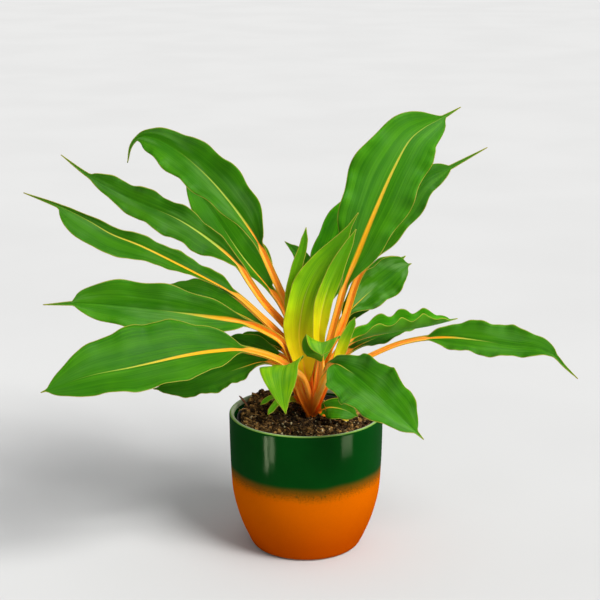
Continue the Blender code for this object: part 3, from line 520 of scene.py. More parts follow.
def smooth_route(points):
    """The smooth curve through the points, as evenly spaced points, and its length.

    Between two points it is the cubic that has both points and the slopes there. The slopes
    come from the neighbouring points, at knots spaced by the square root of their distance.
    """
    points = np.asarray(points, float)
    steps = np.linalg.norm(np.diff(points, axis=0), axis=1) ** 0.5
    knots = np.concatenate(([0], np.cumsum(steps)))
    slopes = np.gradient(points, knots, axis=0)
    t = np.linspace(0, knots[-1], ROUTE_FINE)
    i = np.clip(np.searchsorted(knots, t, side="right") - 1, 0, len(points) - 2)
    span = (knots[i + 1] - knots[i])[:, None]
    u = (t - knots[i])[:, None] / span
    curve = (points[i] * (2 * u**3 - 3 * u**2 + 1) + slopes[i] * span * (u**3 - 2 * u**2 + u)
             + points[i + 1] * (3 * u**2 - 2 * u**3) + slopes[i + 1] * span * (u**3 - u**2))
    lengths = np.linalg.norm(np.diff(curve, axis=0), axis=1)
    length = np.concatenate(([0], np.cumsum(lengths)))
    even = np.linspace(0, length[-1], ROUTE_COUNT)
    return np.stack([np.interp(even, length, line) for line in curve.T], 1), length[-1]


def read_along(values, share):
    """Values at each share of a route, between its evenly spaced points."""
    even = np.linspace(0, 1, len(values))
    return np.stack([np.interp(share, even, line) for line in values.T], 1)


def half_shape(b, half, tail):
    """Share of the widest half-width at b, which runs from 0 at the blade's foot to 1.

    (x / w)^(w n) ((1 - x) / (1 - w))^((1 - w) n), with w where it is widest, n how fast it
    narrows, and x the share of the blade short of its thin tail.
    """
    _, widest, narrowing = half
    x = np.clip(b / (1 - tail), 0, 1)
    shape = ((x / widest) ** (widest * narrowing)
             * ((1 - x) / (1 - widest)) ** ((1 - widest) * narrowing))
    return shape[:, None]


def leaf_surface(leaf, share, across, ripple=0.0):
    """Points of the leaf's middle surface, its half-width there, and b along the blade.

    point = midrib + sideways * out + normal * up. With e the distance from the midrib as a
    share of the half-width W, and f the fold, out = W (e - (1 - cos f) e^1.4) and
    up = W sin f e^1.4, and the waves add height * e^2.2 * sin to up and a part of their cosine
    to out. The stalk is the same surface, narrow and folded up to a channel. ripple adds
    shorter waves to the outer part. b is 0 at the blade's foot and 1 at its tip.
    """
    route, length = smooth_route(leaf.stalk + leaf.blade)
    foot = np.argmin(np.linalg.norm(route - leaf.stalk[-1], axis=1)) / (len(route) - 1)
    middle = read_along(route, share)
    ahead = unit(read_along(unit(np.gradient(route, axis=0)), share))
    b = (share - foot) / (1 - foot)
    at_crown, at_foot, at_tip = (unit(face) for face in (*leaf.faces, leaf.faces[-1])[:3])
    turned = smoothstep((share / foot - CROWN_FACE_SHARE) / (1 - CROWN_FACE_SHARE))[:, None]
    face = at_crown * (1 - turned) + at_foot * turned
    turned = smoothstep(b)[:, None]
    face = face * (1 - turned) + at_tip * turned
    normal = unit(face - np.sum(face * ahead, 1, keepdims=True) * ahead)
    sideways = np.cross(ahead, normal)

    edge = np.abs(across)
    side = np.sign(across)
    tail = np.clip(b / OPENS_OVER, 0, 1) * np.clip((1 - b) / (leaf.tail + TAIL_OPENS), 0, 1)
    spare = (leaf.stalk_half * (1 - smoothstep(b / OPENS_OVER)) + TIP_HALF * smoothstep(b)
             + TAIL_HALF * tail)
    shape = np.where(side < 0, half_shape(b, leaf.left, leaf.tail),
                     half_shape(b, leaf.right, leaf.tail))
    width = np.hypot(spare[:, None], shape * np.where(side < 0, leaf.left[0], leaf.right[0]))
    pinch = CROWN_PINCH + (1 - CROWN_PINCH) * smoothstep(share * length / CROWN_PINCH_LENGTH)
    width = width * pinch[:, None]
    opened = smoothstep((b + OPENS_BEFORE) / OPENS_OVER)
    flattened = smoothstep((b - 1 + TIP_FLATTENS) / TIP_FLATTENS)
    blade_fold = leaf.fold + (min(leaf.fold, TIP_FOLD) - leaf.fold) * flattened
    fold = np.radians(STALK_FOLD + (blade_fold - STALK_FOLD) * opened)[:, None]
    rise = edge**SIDE_CURVE
    out = width * (edge - (1 - np.cos(fold)) * rise)
    up = width * np.sin(fold) * rise
    height, count, first = leaf.wave
    beat = 2 * np.pi * (count * b[:, None] + first + WAVE_LAG * side)
    wave = height * edge**WAVE_REACH * shape
    ripples = ripple * wave * edge * np.sin(RIPPLES_IN_WAVE * beat + RIPPLE_LAG * side)
    up = up + wave * np.sin(beat) + ripples
    out = (out + WAVE_SCALLOP * wave * np.cos(beat)) * side
    points = middle[:, None] + sideways[:, None] * out[..., None] + normal[:, None] * up[..., None]
    return points, width, b


def leaf_rings(leaf, share, blade_thickness, ripple=0.0, stout=1.0):
    """Rings of a closed leaf or stalk, and the values that its finish reads.

    The places across run from -1 to 1 without 0, closer together near the midrib. Each ring
    runs over the upper side from left to right and back under it. The two sides stand off the
    middle surface along its normal by half the thickness, which is the stalk's at the foot, the
    blade's beyond, and thins to the edge. Under the midrib a keel of bell shape is added, and
    over it a groove of the same shape is taken off.
    """
    half = (np.arange(1, leaf.mesh[1] + 1) / leaf.mesh[1]) ** CROWDING
    across = np.concatenate((-half[::-1], [-FIRST_PLACE, FIRST_PLACE], half))
    points, width, b = leaf_surface(leaf, share, across, ripple)
    b = b[:, None]
    normal = unit(np.cross(np.gradient(points, axis=1), np.gradient(points, axis=0)))
    edge = np.abs(across)
    size = leaf.stalk_half / STALK_HALF
    heavy = np.clip(1 - b / STALK_THINS, 0, 1) * (1 - edge * np.clip(b / SIDES_THIN, 0, 1))
    thick = (blade_thickness
             + (STALK_THICK * size - blade_thickness) * heavy * (1 - 0.45 * edge**2))
    thick = EDGE_THICK + (thick - EDGE_THICK) * (1 - edge**6)
    slim = np.clip(1.06 - b, 0, 1) ** 0.6
    bell = np.exp(-(edge * width / (RIB_WIDTH * (0.35 + slim)))**2)
    rib = size * bell * slim * np.clip(b / RIB_STARTS, 0, 1)
    half = 0.5 * thick * np.reshape(stout, (-1, 1))
    above = points + normal * (half - RIB_GROOVE * rib)[..., None]
    below = points - normal * (half + RIB_KEEL * rib)[..., None]
    rings = np.concatenate((above, below[:, ::-1]), 1)
    shape = rings.shape[:2]
    values = {"across": np.broadcast_to(np.concatenate((across, across[::-1])), shape),
              "along": np.broadcast_to(b, shape),
              "half_width": np.concatenate((width, width[:, ::-1]), 1) * MM,
              "under": np.broadcast_to(np.repeat((0, 1), len(across)), shape)}
    return rings, values


def with_poles(values):
    """The values of a skin's vertices: the rings', and the mean of each end's for its pole."""
    return {key: np.concatenate((value.ravel(), [value[0].mean(), value[-1].mean()]))
            for key, value in values.items()}


# Finishes

class Value:
    """The output of a shader node. What is worked out from it adds more nodes."""

    def __init__(self, nodes, socket):
        self.nodes = nodes
        self.socket = socket

    def math(self, operation, other=0.0):
        """The result of one operation, with another value or a number."""
        return self.nodes.node("Math", {0: self, 1: other}, operation=operation)

    __add__ = partialmethod(math, "ADD")
    __mul__ = partialmethod(math, "MULTIPLY")
    __truediv__ = partialmethod(math, "DIVIDE")
    __abs__ = partialmethod(math, "ABSOLUTE")
    most = partialmethod(math, "MAXIMUM")

    def ease(self, start, stop, low=0.0, high=1.0):
        """A smooth rise from low to high as the value goes from start to stop."""
        return self.nodes.node("MapRange", {"Value": self, "From Min": start, "From Max": stop,
                                            "To Min": low, "To Max": high},
                               interpolation_type="SMOOTHSTEP")

    def blend(self, a, b):
        """Colour a where the value is 0 and b where it is 1."""
        # The colours of a mix are its inputs 6 and 7 and its output 2
        return self.nodes.node("Mix", {0: self, 6: a, 7: b}, 2, data_type="RGBA")

    def bump(self, distance, strength, over=None):
        """A relief of the value times the distance, over another relief."""
        inputs = {"Height": self, "Distance": distance, "Strength": strength}
        if over is not None:
            inputs["Normal"] = over
        return self.nodes.node("Bump", inputs)


class Nodes:
    """The nodes of a material or a world."""

    def __init__(self, tree):
        self.tree = tree

    def put(self, socket, value):
        """Link another node's output to the socket, or set the socket to a value."""
        if isinstance(value, Value):
            self.tree.links.new(value.socket, socket)
        elif socket.type == "RGBA":
            socket.default_value = (*value, 1.0)
        else:
            socket.default_value = value

    def node(self, kind, inputs=(), output=0, **settings):
        """The output of a node with its settings and inputs."""
        made = self.tree.nodes.new("ShaderNode" + kind)
        for key, value in settings.items():
            setattr(made, key, value)
        for socket, value in dict(inputs).items():
            self.put(made.inputs[socket], value)
        return Value(self, made.outputs[output])


class Finish(Nodes):
    """A material in the making."""

    def __init__(self, name):
        self.material = bpy.data.materials.new(name)
        self.material.use_nodes = True
        super().__init__(self.material.node_tree)

    def stored(self, name):
        """A value stored at the piece's vertices."""
        return self.node("Attribute", {}, "Fac", attribute_name=name, attribute_type="GEOMETRY")

    def place(self, scale=(1.0, 1.0, 1.0)):
        """The place on the piece in metres, times the scale."""
        where = self.node("TexCoord", output="Object")
        return self.node("Mapping", {"Vector": where, "Scale": scale})

    def height(self):
        """The place's height in metres."""
        return self.node("SeparateXYZ", {0: self.node("TexCoord", output="Object")}, "Z")

    def from_axis(self):
        """The distance from the upright axis in metres."""
        return self.node("VectorMath", {0: self.place((1, 1, 0))}, "Value", operation="LENGTH")

    def noise(self, scale, detail=2.0, rough=0.5, where=None):
        """Soft noise between 0 and 1, mostly between 0.3 and 0.7."""
        return self.node("TexNoise", {"Vector": where or self.place(), "Scale": scale,
                                      "Detail": detail, "Roughness": rough})

    def streaks(self, across, along, tone, detail):
        """Noise of the stored places across and along, each times its scale."""
        where = self.node("CombineXYZ", {0: self.stored("across") * across,
                                         1: self.stored("along") * along, 2: tone})
        return self.noise(1, detail, where=where)

    def done(self, colour, roughness, relief=None, **sockets):
        """The material, with its colour, roughness and relief, and values for other sockets."""
        sockets.update({"Base Color": colour, "Roughness": roughness})
        if relief is not None:
            sockets["Normal"] = relief
        shader = self.tree.nodes["Principled BSDF"]
        for name, value in sockets.items():
            self.put(shader.inputs[name.replace("_", " ")], value)
        return self.material


def dimmed(colour, share):
    """The colour times the share."""
    return tuple(part * share for part in colour)


def leaf_finish(leaf, tone, blade, blade_light, look):
    """Living leaf: fine lengthwise veins, a coloured midrib, a pale edge, a dull back.

    Distances from the midrib and the edge are the stored place across, times the half-width.
    """
    paint = Finish(leaf.name + "_finish")
    along = paint.stored("along")
    under = paint.stored("under")
    half_width = paint.stored("half_width")
    edge = abs(paint.stored("across"))
    from_rib = edge * half_width
    from_edge = (edge * -1 + 1) * half_width
    rib_foot, rib_end = leaf.rib[0] * MM, leaf.rib[1]

    veins = paint.streaks(26, 1.4, tone, 3)
    broad = paint.streaks(4, 2.2, tone, 1)
    patches = paint.noise(30)
    light = (veins.ease(0.35, 0.7, 0, 0.4) + broad.ease(0.4, 0.7, 0, 0.4)
             + patches.ease(0.45, 0.7, 0, 0.25))
    colour = light.blend(blade, blade_light)
    if leaf.yellow:
        colour = along.ease(0.3, 0.9, 0, 0.9).blend(colour, blade_light)
        colour = along.ease(0, leaf.yellow).blend(look.yellow, colour)
    # Painted sheen: pale patches near the midrib, a painted reflection of the sky
    drift = paint.streaks(1.6, 3.5, tone + 3.1, 2)
    painted_sheen = (drift.ease(0.42, 0.66) * edge.ease(0.3, 1, 1, 0.35)
             * veins.ease(0.3, 0.7, leaf.sheen, 1.5 * leaf.sheen))
    colour = painted_sheen.blend(colour, look.painted_sheen)
    # The underside's green is made lighter by the leaf's light, partly painted light where it lies
    # in shade
    colour = (under * 0.7).blend(colour, dimmed(look.under, leaf.light))
    # Painted shade: a darker green line along the midrib's groove, except on young leaves
    crease_shade = from_rib.ease(0.0001, 0.0007, 0 if leaf.yellow else 0.35, 0)
    colour = crease_shade.blend(colour, look.green)
    colour = from_edge.ease(0.0001, 0.0007, 0.75, 0).blend(colour, look.margin)

    rib_half = along.ease(-0.05, rib_end, rib_foot, 0.0003)
    rib = ((from_rib / rib_half).ease(0.5, 1.3, 1, 0)
           * along.ease(rib_end * 0.55, rib_end * 1.15, 1, 0))
    turned = along.ease(0.2 * leaf.greens * rib_end, leaf.greens * rib_end)
    rib_colour = turned.blend(look.yellow if leaf.yellow else look.rib, look.rib_end)
    colour = rib.blend(colour, rib_colour)

    stalk_half = along.ease(-0.1, 0.02, 0.0085, 0.9 * rib_foot)
    stalk = (from_rib / stalk_half).ease(0.6, 1.25, 1, 0) * along.ease(0, 0.14, 1, 0)
    pale = paint.streaks(7, 4, tone, 3).ease(0.38, 0.66, 0, 0.75)
    stalk_colour = pale.blend(look.stalk, look.pale_stalk)
    stalk_colour = along.ease(-0.9, -0.2, 0.55, 0).blend(stalk_colour, look.crown)
    edge_colour = along.ease(-0.35, 0).blend(look.rib, look.olive)
    stalk_colour = from_edge.ease(0.0003, 0.0011, 0.8, 0).blend(stalk_colour, edge_colour)
    colour = stalk.blend(colour, stalk_colour)

    relief = patches.bump(0.0009, 0.25, veins.bump(0.0004, 0.35))
    rough = veins.ease(0.3, 0.7, 0.42, 0.52) + under * 0.14
    return paint.done(colour, rough, relief, Specular_IOR_Level=0.05,
                      Subsurface_Weight=look.through, Subsurface_Scale=0.002,
                      Subsurface_Radius=(0.6, 1, 0.1))


class PLANT_OT_cover_pot(bpy.types.Operator):
    """Make the glazed cover pot, as a profile turned about the upright axis"""

    bl_idname = "plant.cover_pot"
    bl_label = "Cover pot"

    def execute(self, context):
        pot = context.scene.plant_pot
        radius, height = pot.radius / MM, pot.height / MM
        half = POT_WALL / 2
        outer = smooth_profile(np.array(POT_SIDE) * (radius, height), POT_ROWS)
        rim = arc((radius - half, height - half), half, 0, 180, 15)
        inner = outer[8:][::-1] - (POT_WALL, 0)
        inner = inner[inner[:, 1] > POT_FLOOR + 3]
        corner = arc((inner[-1, 0] - 4, POT_FLOOR + POT_CORNER), POT_CORNER, 0, -90, 6)
        floor = [(corner[-1, 0] * share, POT_FLOOR) for share in (0.7, 0.35, 0.05)]
        under = [(outer[0, 0] * share, 0) for share in (0.05, 0.4, 0.75, 0.95)]
        profile = np.concatenate((under, outer, rim, inner, corner, floor))
        add_piece("glazed_cover_pot", ring_skin(turned_rings(profile, POT_AROUND)),
                  self.glaze(pot), ("cover_pot",))
        return {"FINISHED"}

    def glaze(self, pot):
        """Gloss green over satin orange, with a sprayed and speckled change, and a pale lip.

        The sprayed specks are the peaks of a fine noise, above a level that rises with the
        distance below the line. The lip is pale on its crest, and pale down its inner side as
        painted light.
        """
        glaze = Finish("two_tone_glaze")
        line, fade = pot.glaze_line, pot.glaze_fade
        height = glaze.height()
        level = height + glaze.noise(22, 1).ease(0.3, 0.7, -0.0012, 0.0012)
        below = (level + -line) * 15
        specks = (glaze.noise(1300, 1) + below).ease(0.47, 0.54, 0, 0.8)
        green = level.ease(line - fade, line + fade).most(specks * below.ease(-0.18, -0.03))
        mottle = glaze.noise(60, 4).ease(0.35, 0.75, 0, 0.4)
        upper = mottle.blend(pot.green, dimmed(pot.green, 1.25))
        # Painted shade: the orange darkens from the glaze line down to the foot
        lower = height.ease(0, line).blend(pot.shaded_orange, pot.orange)
        grain = glaze.noise(1900, 2).ease(0.35, 0.65, 0, 0.12)
        colour = green.blend(grain.blend(lower, BROWN_GRAIN), upper)
        from_axis = glaze.from_axis()
        inside = from_axis.ease(pot.radius - 0.0022, pot.radius - 0.0014, 0.0032, 0)
        lip = (height + inside).ease(pot.height - 0.0011, pot.height - 0.0004)
        # Painted light: the inner side of the lip is painted pale
        inner_side = from_axis.ease(pot.radius - 0.002, pot.radius - 0.001, 1, 0)
        colour = lip.blend(colour, inner_side.blend(pot.crest, pot.lip))
        bare = height.ease(0.0006, 0.0018, 1, 0)
        colour = bare.blend(colour, BARE_CLAY)
        relief = glaze.noise(900, 2).bump(0.00012, 0.35, glaze.noise(42, 1).bump(0.0012, 0.25))
        rough = green.ease(0.1, 0.9, 0.5, 0.1).most(bare * 0.8)
        return glaze.done(colour, rough, relief, Specular_IOR_Level=0.0,
                          Coat_Weight=green.ease(0.3, 0.9, 0, 0.06), Coat_Roughness=0.1,
                          Coat_Normal=relief)


class PLANT_OT_grow_pot(bpy.types.Operator):
    """Make the thin plastic pot that stands in the cover pot, as a turned profile"""

    bl_idname = "plant.grow_pot"
    bl_label = "Grow pot"

    def execute(self, context):
        foot = POT_FLOOR + 0.3
        floor = foot + GROW_WALL
        lip_foot = GROW_TOP - GROW_LIP_HEIGHT
        half = GROW_WALL / 2
        rise = np.linspace(foot + 2, lip_foot, 12)
        fall = np.linspace(lip_foot, floor, 12)
        profile = np.concatenate((
            [(2, foot), (30, foot), (GROW_FOOT_RADIUS - 1, foot), (GROW_FOOT_RADIUS, foot + 1)],
            np.stack((grow_wall_radius(rise), rise), 1),
            [(GROW_RADIUS - 0.5, lip_foot + 0.4), (GROW_RADIUS, lip_foot + 1.2)],
            arc((GROW_RADIUS - half, GROW_TOP - half), half, 0, 180, 9),
            [(GROW_RADIUS - GROW_WALL, lip_foot + 1)],
            np.stack((grow_wall_radius(fall) - GROW_WALL, fall), 1),
            [(30, floor), (2, floor)]))
        plastic = Finish("grow_pot_plastic")
        dust = plastic.noise(160, 4)
        colour = dust.ease(0.5, 0.75, 0, 0.5).blend(context.scene.plant_pot.plastic, DUST)
        finish = plastic.done(colour, dust.ease(0.4, 0.7, 0.42, 0.75),
                              plastic.noise(2500, 2).bump(0.0001, 0.4))
        add_piece("thin_grow_pot", ring_skin(turned_rings(profile, GROW_AROUND)), finish,
                  ("grow_pot",))
        return {"FINISHED"}


def grow_wall_radius(height):
    """Outer radius of the grow pot's wall, which tapers evenly."""
    share = (height - POT_FLOOR) / (GROW_TOP - POT_FLOOR)
    return GROW_FOOT_RADIUS + (GROW_RADIUS - GROW_LIP - GROW_FOOT_RADIUS) * share


def soil_edge(x, y):
    """(d / R)^4, with d the distance from the middle and R the grow pot's radius."""
    return (x**2 + y**2)**2 / GROW_RADIUS**4


def soil_lifts(x, y):
    """Noise in lumps of 8 mm, crumbs of 3.4 mm and grit of 1.7 mm, calmer at the edge."""
    lumps = 3.6 * (lattice_noise(x, y, 8, 3) - 0.5)
    crumbs = 3.0 * (np.abs(lattice_noise(x, y, 3.4, 4) - 0.5) - 0.2)
    grit = 1.3 * (lattice_noise(x, y, 1.7, 5) - 0.5)
    return (lumps - 2 * crumbs + grit) * (1 - 0.5 * soil_edge(x, y))


def soil_height(x, y):
    """Level soil, lower at the edge, plus a mound of bell shape exp(-d^2 / 2 s^2), plus lifts."""
    away = (x - SOIL_MOUND_PLACE[0])**2 + (y - SOIL_MOUND_PLACE[1])**2
    mound = np.exp(-away / (2 * SOIL_MOUND_SPREAD**2))
    return SOIL_TOP - SOIL_EDGE_DROP * soil_edge(x, y) + SOIL_MOUND * mound + soil_lifts(x, y)


class PLANT_OT_soil(bpy.types.Operator):
    """Make the peat with its loose crumbs, fibres and pale bits"""

    bl_idname = "plant.soil"
    bl_label = "Soil"

    def execute(self, context):
        soil = context.scene.plant_soil
        floor = POT_FLOOR + GROW_WALL + 0.6
        shoulder = GROW_TOP - GROW_LIP_HEIGHT - 2
        side = [(grow_wall_radius(z) - GROW_WALL - 0.2, z) for z in (floor, shoulder)]
        rings = np.linspace(side[-1][0] + 0.1, 0.8, SOIL_ROWS)
        profile = [(2, floor)] + side + [(radius, SOIL_TOP) for radius in rings]
        points = turned_rings(profile, SOIL_AROUND)
        x, y = points[..., 0], points[..., 1]
        points[3:, :, 2] = soil_height(x[3:], y[3:])
        # The stored lift is the soil's height, which the finish turns into painted shade in the
        # low places
        add_piece("peat", ring_skin(points), self.peat("moist_peat", soil),
                  ("soil",), with_poles({"lift": 0.4 + 0.3 * soil_lifts(x, y)}))
        self.crumbs(soil)
        self.fibres(soil)
        self.flecks(soil)
        return {"FINISHED"}

    def peat(self, name, soil):
        """Peat that is black in its gaps and brown on its crumbs, and darker near the stem.

        The black of the low gaps and the dark near the stem are painted shade.
        """
        peat = Finish(name)
        lumps = peat.noise(210, 4, 0.7)
        grit = peat.noise(900, 3, 0.6)
        # Brown share: random dry lumps, and on the peat less brown in its low places as painted
        # shade
        dry = peat.stored("lift").ease(0.3, 0.9, 0.05) * lumps.ease(0.42, 0.66, 0.1)
        # Grit adds brown; nearer the stem it is darker, a painted shadow
        dry = (dry + grit.ease(0.5, 0.8, 0, 0.35)) * peat.from_axis().ease(0.012, 0.046, 0.3, 1.3)
        return peat.done(dry.blend(soil.peat, soil.dry_peat), grit.ease(0.3, 0.7, 0.6, 0.95),
                         grit.bump(0.0015, 0.9, lumps.bump(0.005, 0.9)), Specular_IOR_Level=0.1)

    def spots(self, count, seed):
        """Random places on the soil, and a random generator that goes on from there."""
        random = np.random.default_rng(seed)
        radius = (GROW_RADIUS - 3.5) * random.random(count) ** 0.5
        angle = 2 * np.pi * random.random(count)
        x, y = radius * np.cos(angle), radius * np.sin(angle)
        return np.stack((x, y, soil_height(x, y)), 1), random

    def balls(self, count, seed, largest, rings, corners, least, more, lift):
        """Uneven balls on the soil, stretched and turned at random, and the random generator.

        rings are the angles of a ball's rings from its lower pole. With a random r, the size is
        largest (0.25 + 0.75 r^2), and the stretch along each axis is least + more r.
        """
        spots, random = self.spots(count, seed)
        polar = np.radians(rings)
        ball = ring_skin(turned_rings(np.stack((np.sin(polar), -np.cos(polar)), 1), corners))
        size = largest * (0.25 + 0.75 * random.random((count, 1)) ** 2)
        stretch = size * (least + random.random((count, 3)) * more)
        first = unit(random.normal(size=(count, 3)))
        second = unit(np.cross(first, random.normal(size=(count, 3))))
        frames = np.stack((first, second, np.cross(first, second)), 1) * stretch[..., None]
        return scattered(ball, frames, spots + (0, 0, lift)), random

    def crumbs(self, soil):
        """Round crumbs, each as dry as its own random lift.

        Near the stem they are darker, as painted shadow.
        """
        skin, random = self.balls(soil.crumbs, CRUMB_SEED, soil.crumb_size / MM,
                                  (20, 55, 90, 125, 160), 6, 0.6, 0.8, 0.4)
        lift = np.repeat(random.random(soil.crumbs), len(skin[0]) // soil.crumbs)
        add_piece("peat_crumbs", skin, self.peat("dry_crumbs", soil),
                  values={"lift": lift})

    def fibres(self, soil):
        """Thin bent fibres: a three-sided tube along a shallow arc, laid on the soil."""
        count = soil.fibres
        spots, random = self.spots(count, FIBRE_SEED)
        t = np.linspace(-1, 1, 7)[:, None]
        corner = 2 * np.pi * np.arange(3) / 3
        thin = 0.05 * (1 - 0.75 * np.abs(t)**3)
        bent = 0.35 * (1 - t**2) + thin * np.sin(corner)
        tube = ring_skin(np.stack((thin * np.cos(corner), bent, np.broadcast_to(t, (7, 3))), -1))
        heading = 2 * np.pi * random.random(count)
        tilt = random.normal(0, 0.25, count)
        level = np.cos(tilt)
        ahead = np.stack((np.cos(heading) * level, np.sin(heading) * level, np.sin(tilt)), 1)
        aside = unit(np.cross(ahead, (0, 0, 1)) + 0.6 * random.normal(size=(count, 3)))
        length = 1.8 + 5 * random.random((count, 1, 1)) ** 2
        thick = 3 + 6 * random.random((count, 1, 1)) ** 2
        frames = (np.stack((np.cross(ahead, aside), aside, ahead), 1)
                  * np.concatenate((thick, length, length), 1))
        spots[0], frames[0] = BARK_PLACE, BARK_FRAME
        fibre = Finish("bark_fibre")
        colour = fibre.noise(90).ease(0.35, 0.65).blend(soil.fibre, soil.dry_peat)
        add_piece("peat_fibres", scattered(tube, frames, spots + (0, 0, 0.7)),
                  fibre.done(colour, 0.85))

    def flecks(self, soil):
        """Pale bits: smaller balls, pressed flat."""
        skin, _ = self.balls(soil.flecks, FLECK_SEED, FLECK_SIZE, (25, 65, 115, 155), 5,
                             0.35, (1, 0.7, 0.3), 1.4)
        fleck = Finish("pale_flecks")
        colour = fleck.noise(70, 1).ease(0.4, 0.65).blend(soil.fleck, DARK_FLECK)
        add_piece("peat_flecks", skin, fleck.done(colour, 0.8))


class PLANT_OT_crown(bpy.types.Operator):
    """Make the short stem with the clasping foot of every stalk"""

    bl_idname = "plant.crown"
    bl_label = "Crown"

    def execute(self, context):
        look = context.scene.plant_leaf
        t = np.linspace(0, 1, 12)
        radius = CROWN_RADIUS + (CROWN_TOP_RADIUS - CROWN_RADIUS) * t + 0.5 * np.sin(9 * t)
        height = CROWN_FOOT + (CROWN_HEIGHT - CROWN_FOOT) * t
        stem = turned_rings(np.stack((radius, height), 1), STEM_AROUND)
        stem[..., :2] += CROWN_PLACE
        none = np.zeros(stem.shape[:2])
        parts = [(*ring_skin(stem), with_poles({"along": none, "across": none}))]
        for leaf in LEAVES:
            _, length = smooth_route(leaf.stalk + leaf.blade)
            reach = leaf.sheath + SHEATH_RISES
            climb = np.linspace(0, reach, SHEATH_ROWS)
            sink = smoothstep((climb - reach + SHEATH_SINKS) / SHEATH_SINKS)
            rings, values = leaf_rings(leaf, climb / length, look.blade_thickness / MM,
                                       stout=1.25 - 0.55 * sink)
            along = np.broadcast_to(climb[:, None] / SHEATH_TONE_LENGTH, rings.shape[:2])
            stored = with_poles({"along": along, "across": values["across"]})
            parts.append((*ring_skin(rings), stored))
        steps = np.cumsum([0] + [len(part[0]) for part in parts])
        verts = np.concatenate([part[0] for part in parts])
        faces = [[corner + step for corner in face]
                 for part, step in zip(parts, steps) for face in part[1]]
        values = {key: np.concatenate([part[2][key] for part in parts]) for key in stored}
        add_piece("stalk_crown", (verts, faces), self.finish(look), ("crown",),
                  values)
        return {"FINISHED"}

    def finish(self, look):
        """Orange-red at the foot, clearer orange above, with fine lengthwise streaks."""
        stalk = Finish("stalk_sheath")
        streaks = stalk.streaks(5, 1, 0, 3)
        patches = stalk.noise(120, 3)
        low = patches.ease(0.35, 0.7, 0, 0.6).blend(look.crown, PALE_SHEATH)
        high = streaks.ease(0.38, 0.66, 0, 0.6).blend(look.stalk, look.pale_stalk)
        colour = stalk.stored("along").ease(0.3, 1.1).blend(low, high)
        edge = abs(stalk.stored("across")).ease(0.8, 1, 0, 0.6)
        return stalk.done(edge.blend(colour, look.crown), patches.ease(0.3, 0.7, 0.33, 0.48),
                          streaks.bump(0.0005, 0.4), Specular_IOR_Level=0.06)


class PLANT_OT_leaves(bpy.types.Operator):
    """Make every leaf, its stalk and blade in one closed surface"""

    bl_idname = "plant.leaves"
    bl_label = "Leaves"

    def execute(self, context):
        look = context.scene.plant_leaf
        for number, leaf in enumerate(LEAVES):
            _, length = smooth_route(leaf.stalk + leaf.blade)
            hidden = min(HIDDEN_LENGTH, 0.4 * leaf.sheath)
            share = np.linspace((leaf.sheath - hidden) / length, 1, leaf.mesh[0])
            rings, values = leaf_rings(leaf, share, look.blade_thickness / MM,
                                       look.ripple * leaf.ripples)
            add_piece(leaf.name + "_blade", ring_skin(rings), self.finish(leaf, number, look),
                      (leaf.name,), with_poles(values))
        return {"FINISHED"}

    def finish(self, leaf, number, look):
        """Green, young or dry finish, each leaf a little lighter or darker than the next."""
        # Random tone, times the leaf's light, which is partly painted light on leaves that lie in
        # shade
        shade = leaf.light * (0.85 + 0.3 * (number * 0.618 % 1))
        blade = {"green_leaf": (dimmed(look.green, shade), dimmed(look.light_green, shade)),
                 "young_leaf": (look.light_green, look.young),
                 "dry_leaf": DRY_LEAF}[leaf.kind]
        if leaf.yellow:
            blade = dimmed(look.young, leaf.light), look.light_green
        return leaf_finish(leaf, 7.3 * number, *blade, look)


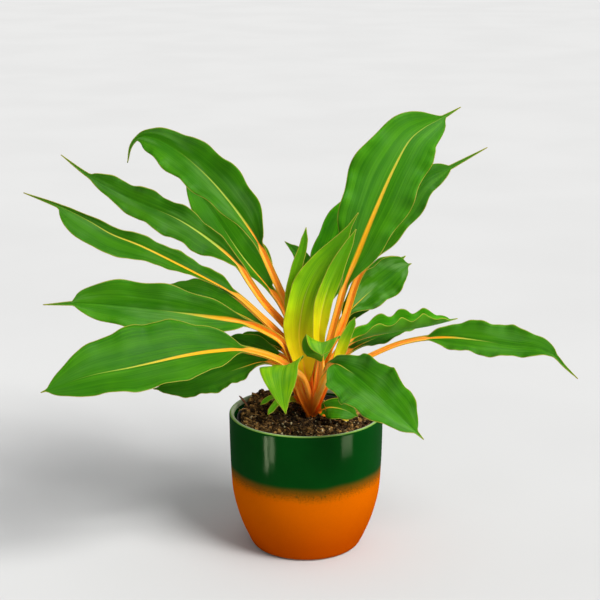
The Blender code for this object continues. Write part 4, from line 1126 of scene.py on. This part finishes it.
class PLANT_OT_stage(bpy.types.Operator):
    """Make the plain floor, the soft lights and the camera"""

    bl_idname = "plant.stage"
    bl_label = "Stage"

    def execute(self, context):
        stage = context.scene.plant_stage
        self.floor(stage)
        sun = self.light("key", "SUN", stage.key, SUNLIGHT, stage.key_place, (0, 0, 0))
        sun.data.angle = stage.key_width
        for name, (share, place, size) in CARDS.items():
            card = self.light(name, "AREA", share * stage.cards, CARD_LIGHT, place,
                              (0, 0, place[2]))
            card.data.shape = "RECTANGLE"
            card.data.size, card.data.size_y = size
            card.visible_camera = card.visible_diffuse = False
        context.scene.world = self.sky(stage)
        camera = placed("camera", bpy.data.cameras.new("camera"))
        camera.data.lens = stage.lens
        camera.data.sensor_width = 36
        camera.data.clip_end = 50
        camera.location = stage.camera_place
        camera.rotation_euler.x = stage.camera_pitch
        context.scene.camera = camera
        context.scene.view_settings.view_transform = "Standard"
        return {"FINISHED"}

    def sky(self, stage):
        """Even white light, strong from overhead and weak from the horizon."""
        world = bpy.data.worlds.new("sky")
        world.use_nodes = True
        sky = Nodes(world.node_tree)
        up = sky.node("SeparateXYZ", {0: sky.node("TexCoord", output="Generated")}, "Z")
        strength = sky.node("MapRange", {"Value": up, "From Max": 0.8, "To Min": stage.horizon,
                                         "To Max": stage.sky})
        background = world.node_tree.nodes["Background"].inputs
        sky.put(background["Strength"], strength)
        sky.put(background["Color"], (1, 1, 1))
        return world

    def floor(self, stage):
        """A level round floor, wide enough for every view."""
        rim = turned_rings([(FLOOR_RADIUS, 0)], FLOOR_AROUND)[0]
        mesh = bpy.data.meshes.new("floor")
        mesh.from_pydata(rim, [], [list(range(len(rim)))])
        paint = Finish("floor_paint")
        colour = paint.noise(3).ease(0.3, 0.7).blend(stage.floor, dimmed(stage.floor, 0.97))
        mesh.materials.append(paint.done(colour, 0.7, Specular_IOR_Level=0.0))
        floor = placed("floor", mesh)

    def light(self, name, kind, power, colour, place, aim):
        """A light in its place, turned to what it lights."""
        lamp = placed(name, bpy.data.lights.new(name, kind))
        lamp.data.energy = power
        lamp.data.color = colour
        lamp.location = place
        ahead = Vector(aim) - lamp.location
        lamp.rotation_euler = ahead.to_track_quat("-Z", "Y").to_euler()
        return lamp


class PLANT_PT_parts(bpy.types.Panel):
    """The plant's operators and settings"""

    bl_label = "Potted plant"
    bl_space_type = "VIEW_3D"
    bl_region_type = "UI"
    bl_category = "Plant"

    def draw(self, context):
        for operator, group in PARTS:
            box = self.layout.box()
            box.operator(operator.bl_idname)
            settings = getattr(context.scene, group, None)
            for key in settings.__annotations__ if settings else ():
                box.prop(settings, key)


SETTINGS = {"plant_pot": PotSettings, "plant_soil": SoilSettings, "plant_leaf": LeafSettings,
            "plant_stage": StageSettings}
PARTS = ((PLANT_OT_cover_pot, "plant_pot"), (PLANT_OT_grow_pot, ""), (PLANT_OT_soil, "plant_soil"),
         (PLANT_OT_crown, ""), (PLANT_OT_leaves, "plant_leaf"), (PLANT_OT_stage, "plant_stage"))
CLASSES = (*SETTINGS.values(), *(operator for operator, _ in PARTS), PLANT_PT_parts)


def register():
    """Add the classes, and the settings to the scene."""
    for added in CLASSES:
        bpy.utils.register_class(added)
    for name, group in SETTINGS.items():
        setattr(bpy.types.Scene, name, bpy.props.PointerProperty(type=group))


def unregister():
    """Take the settings and the classes away again."""
    for name in SETTINGS:
        delattr(bpy.types.Scene, name)
    for added in reversed(CLASSES):
        bpy.utils.unregister_class(added)


def main():
    """Register the add-on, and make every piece."""
    register()
    bpy.ops.plant.stage()
    bpy.ops.plant.cover_pot()
    bpy.ops.plant.grow_pot()
    bpy.ops.plant.soil()
    bpy.ops.plant.crown()
    bpy.ops.plant.leaves()


if __name__ == "__main__":
    main()
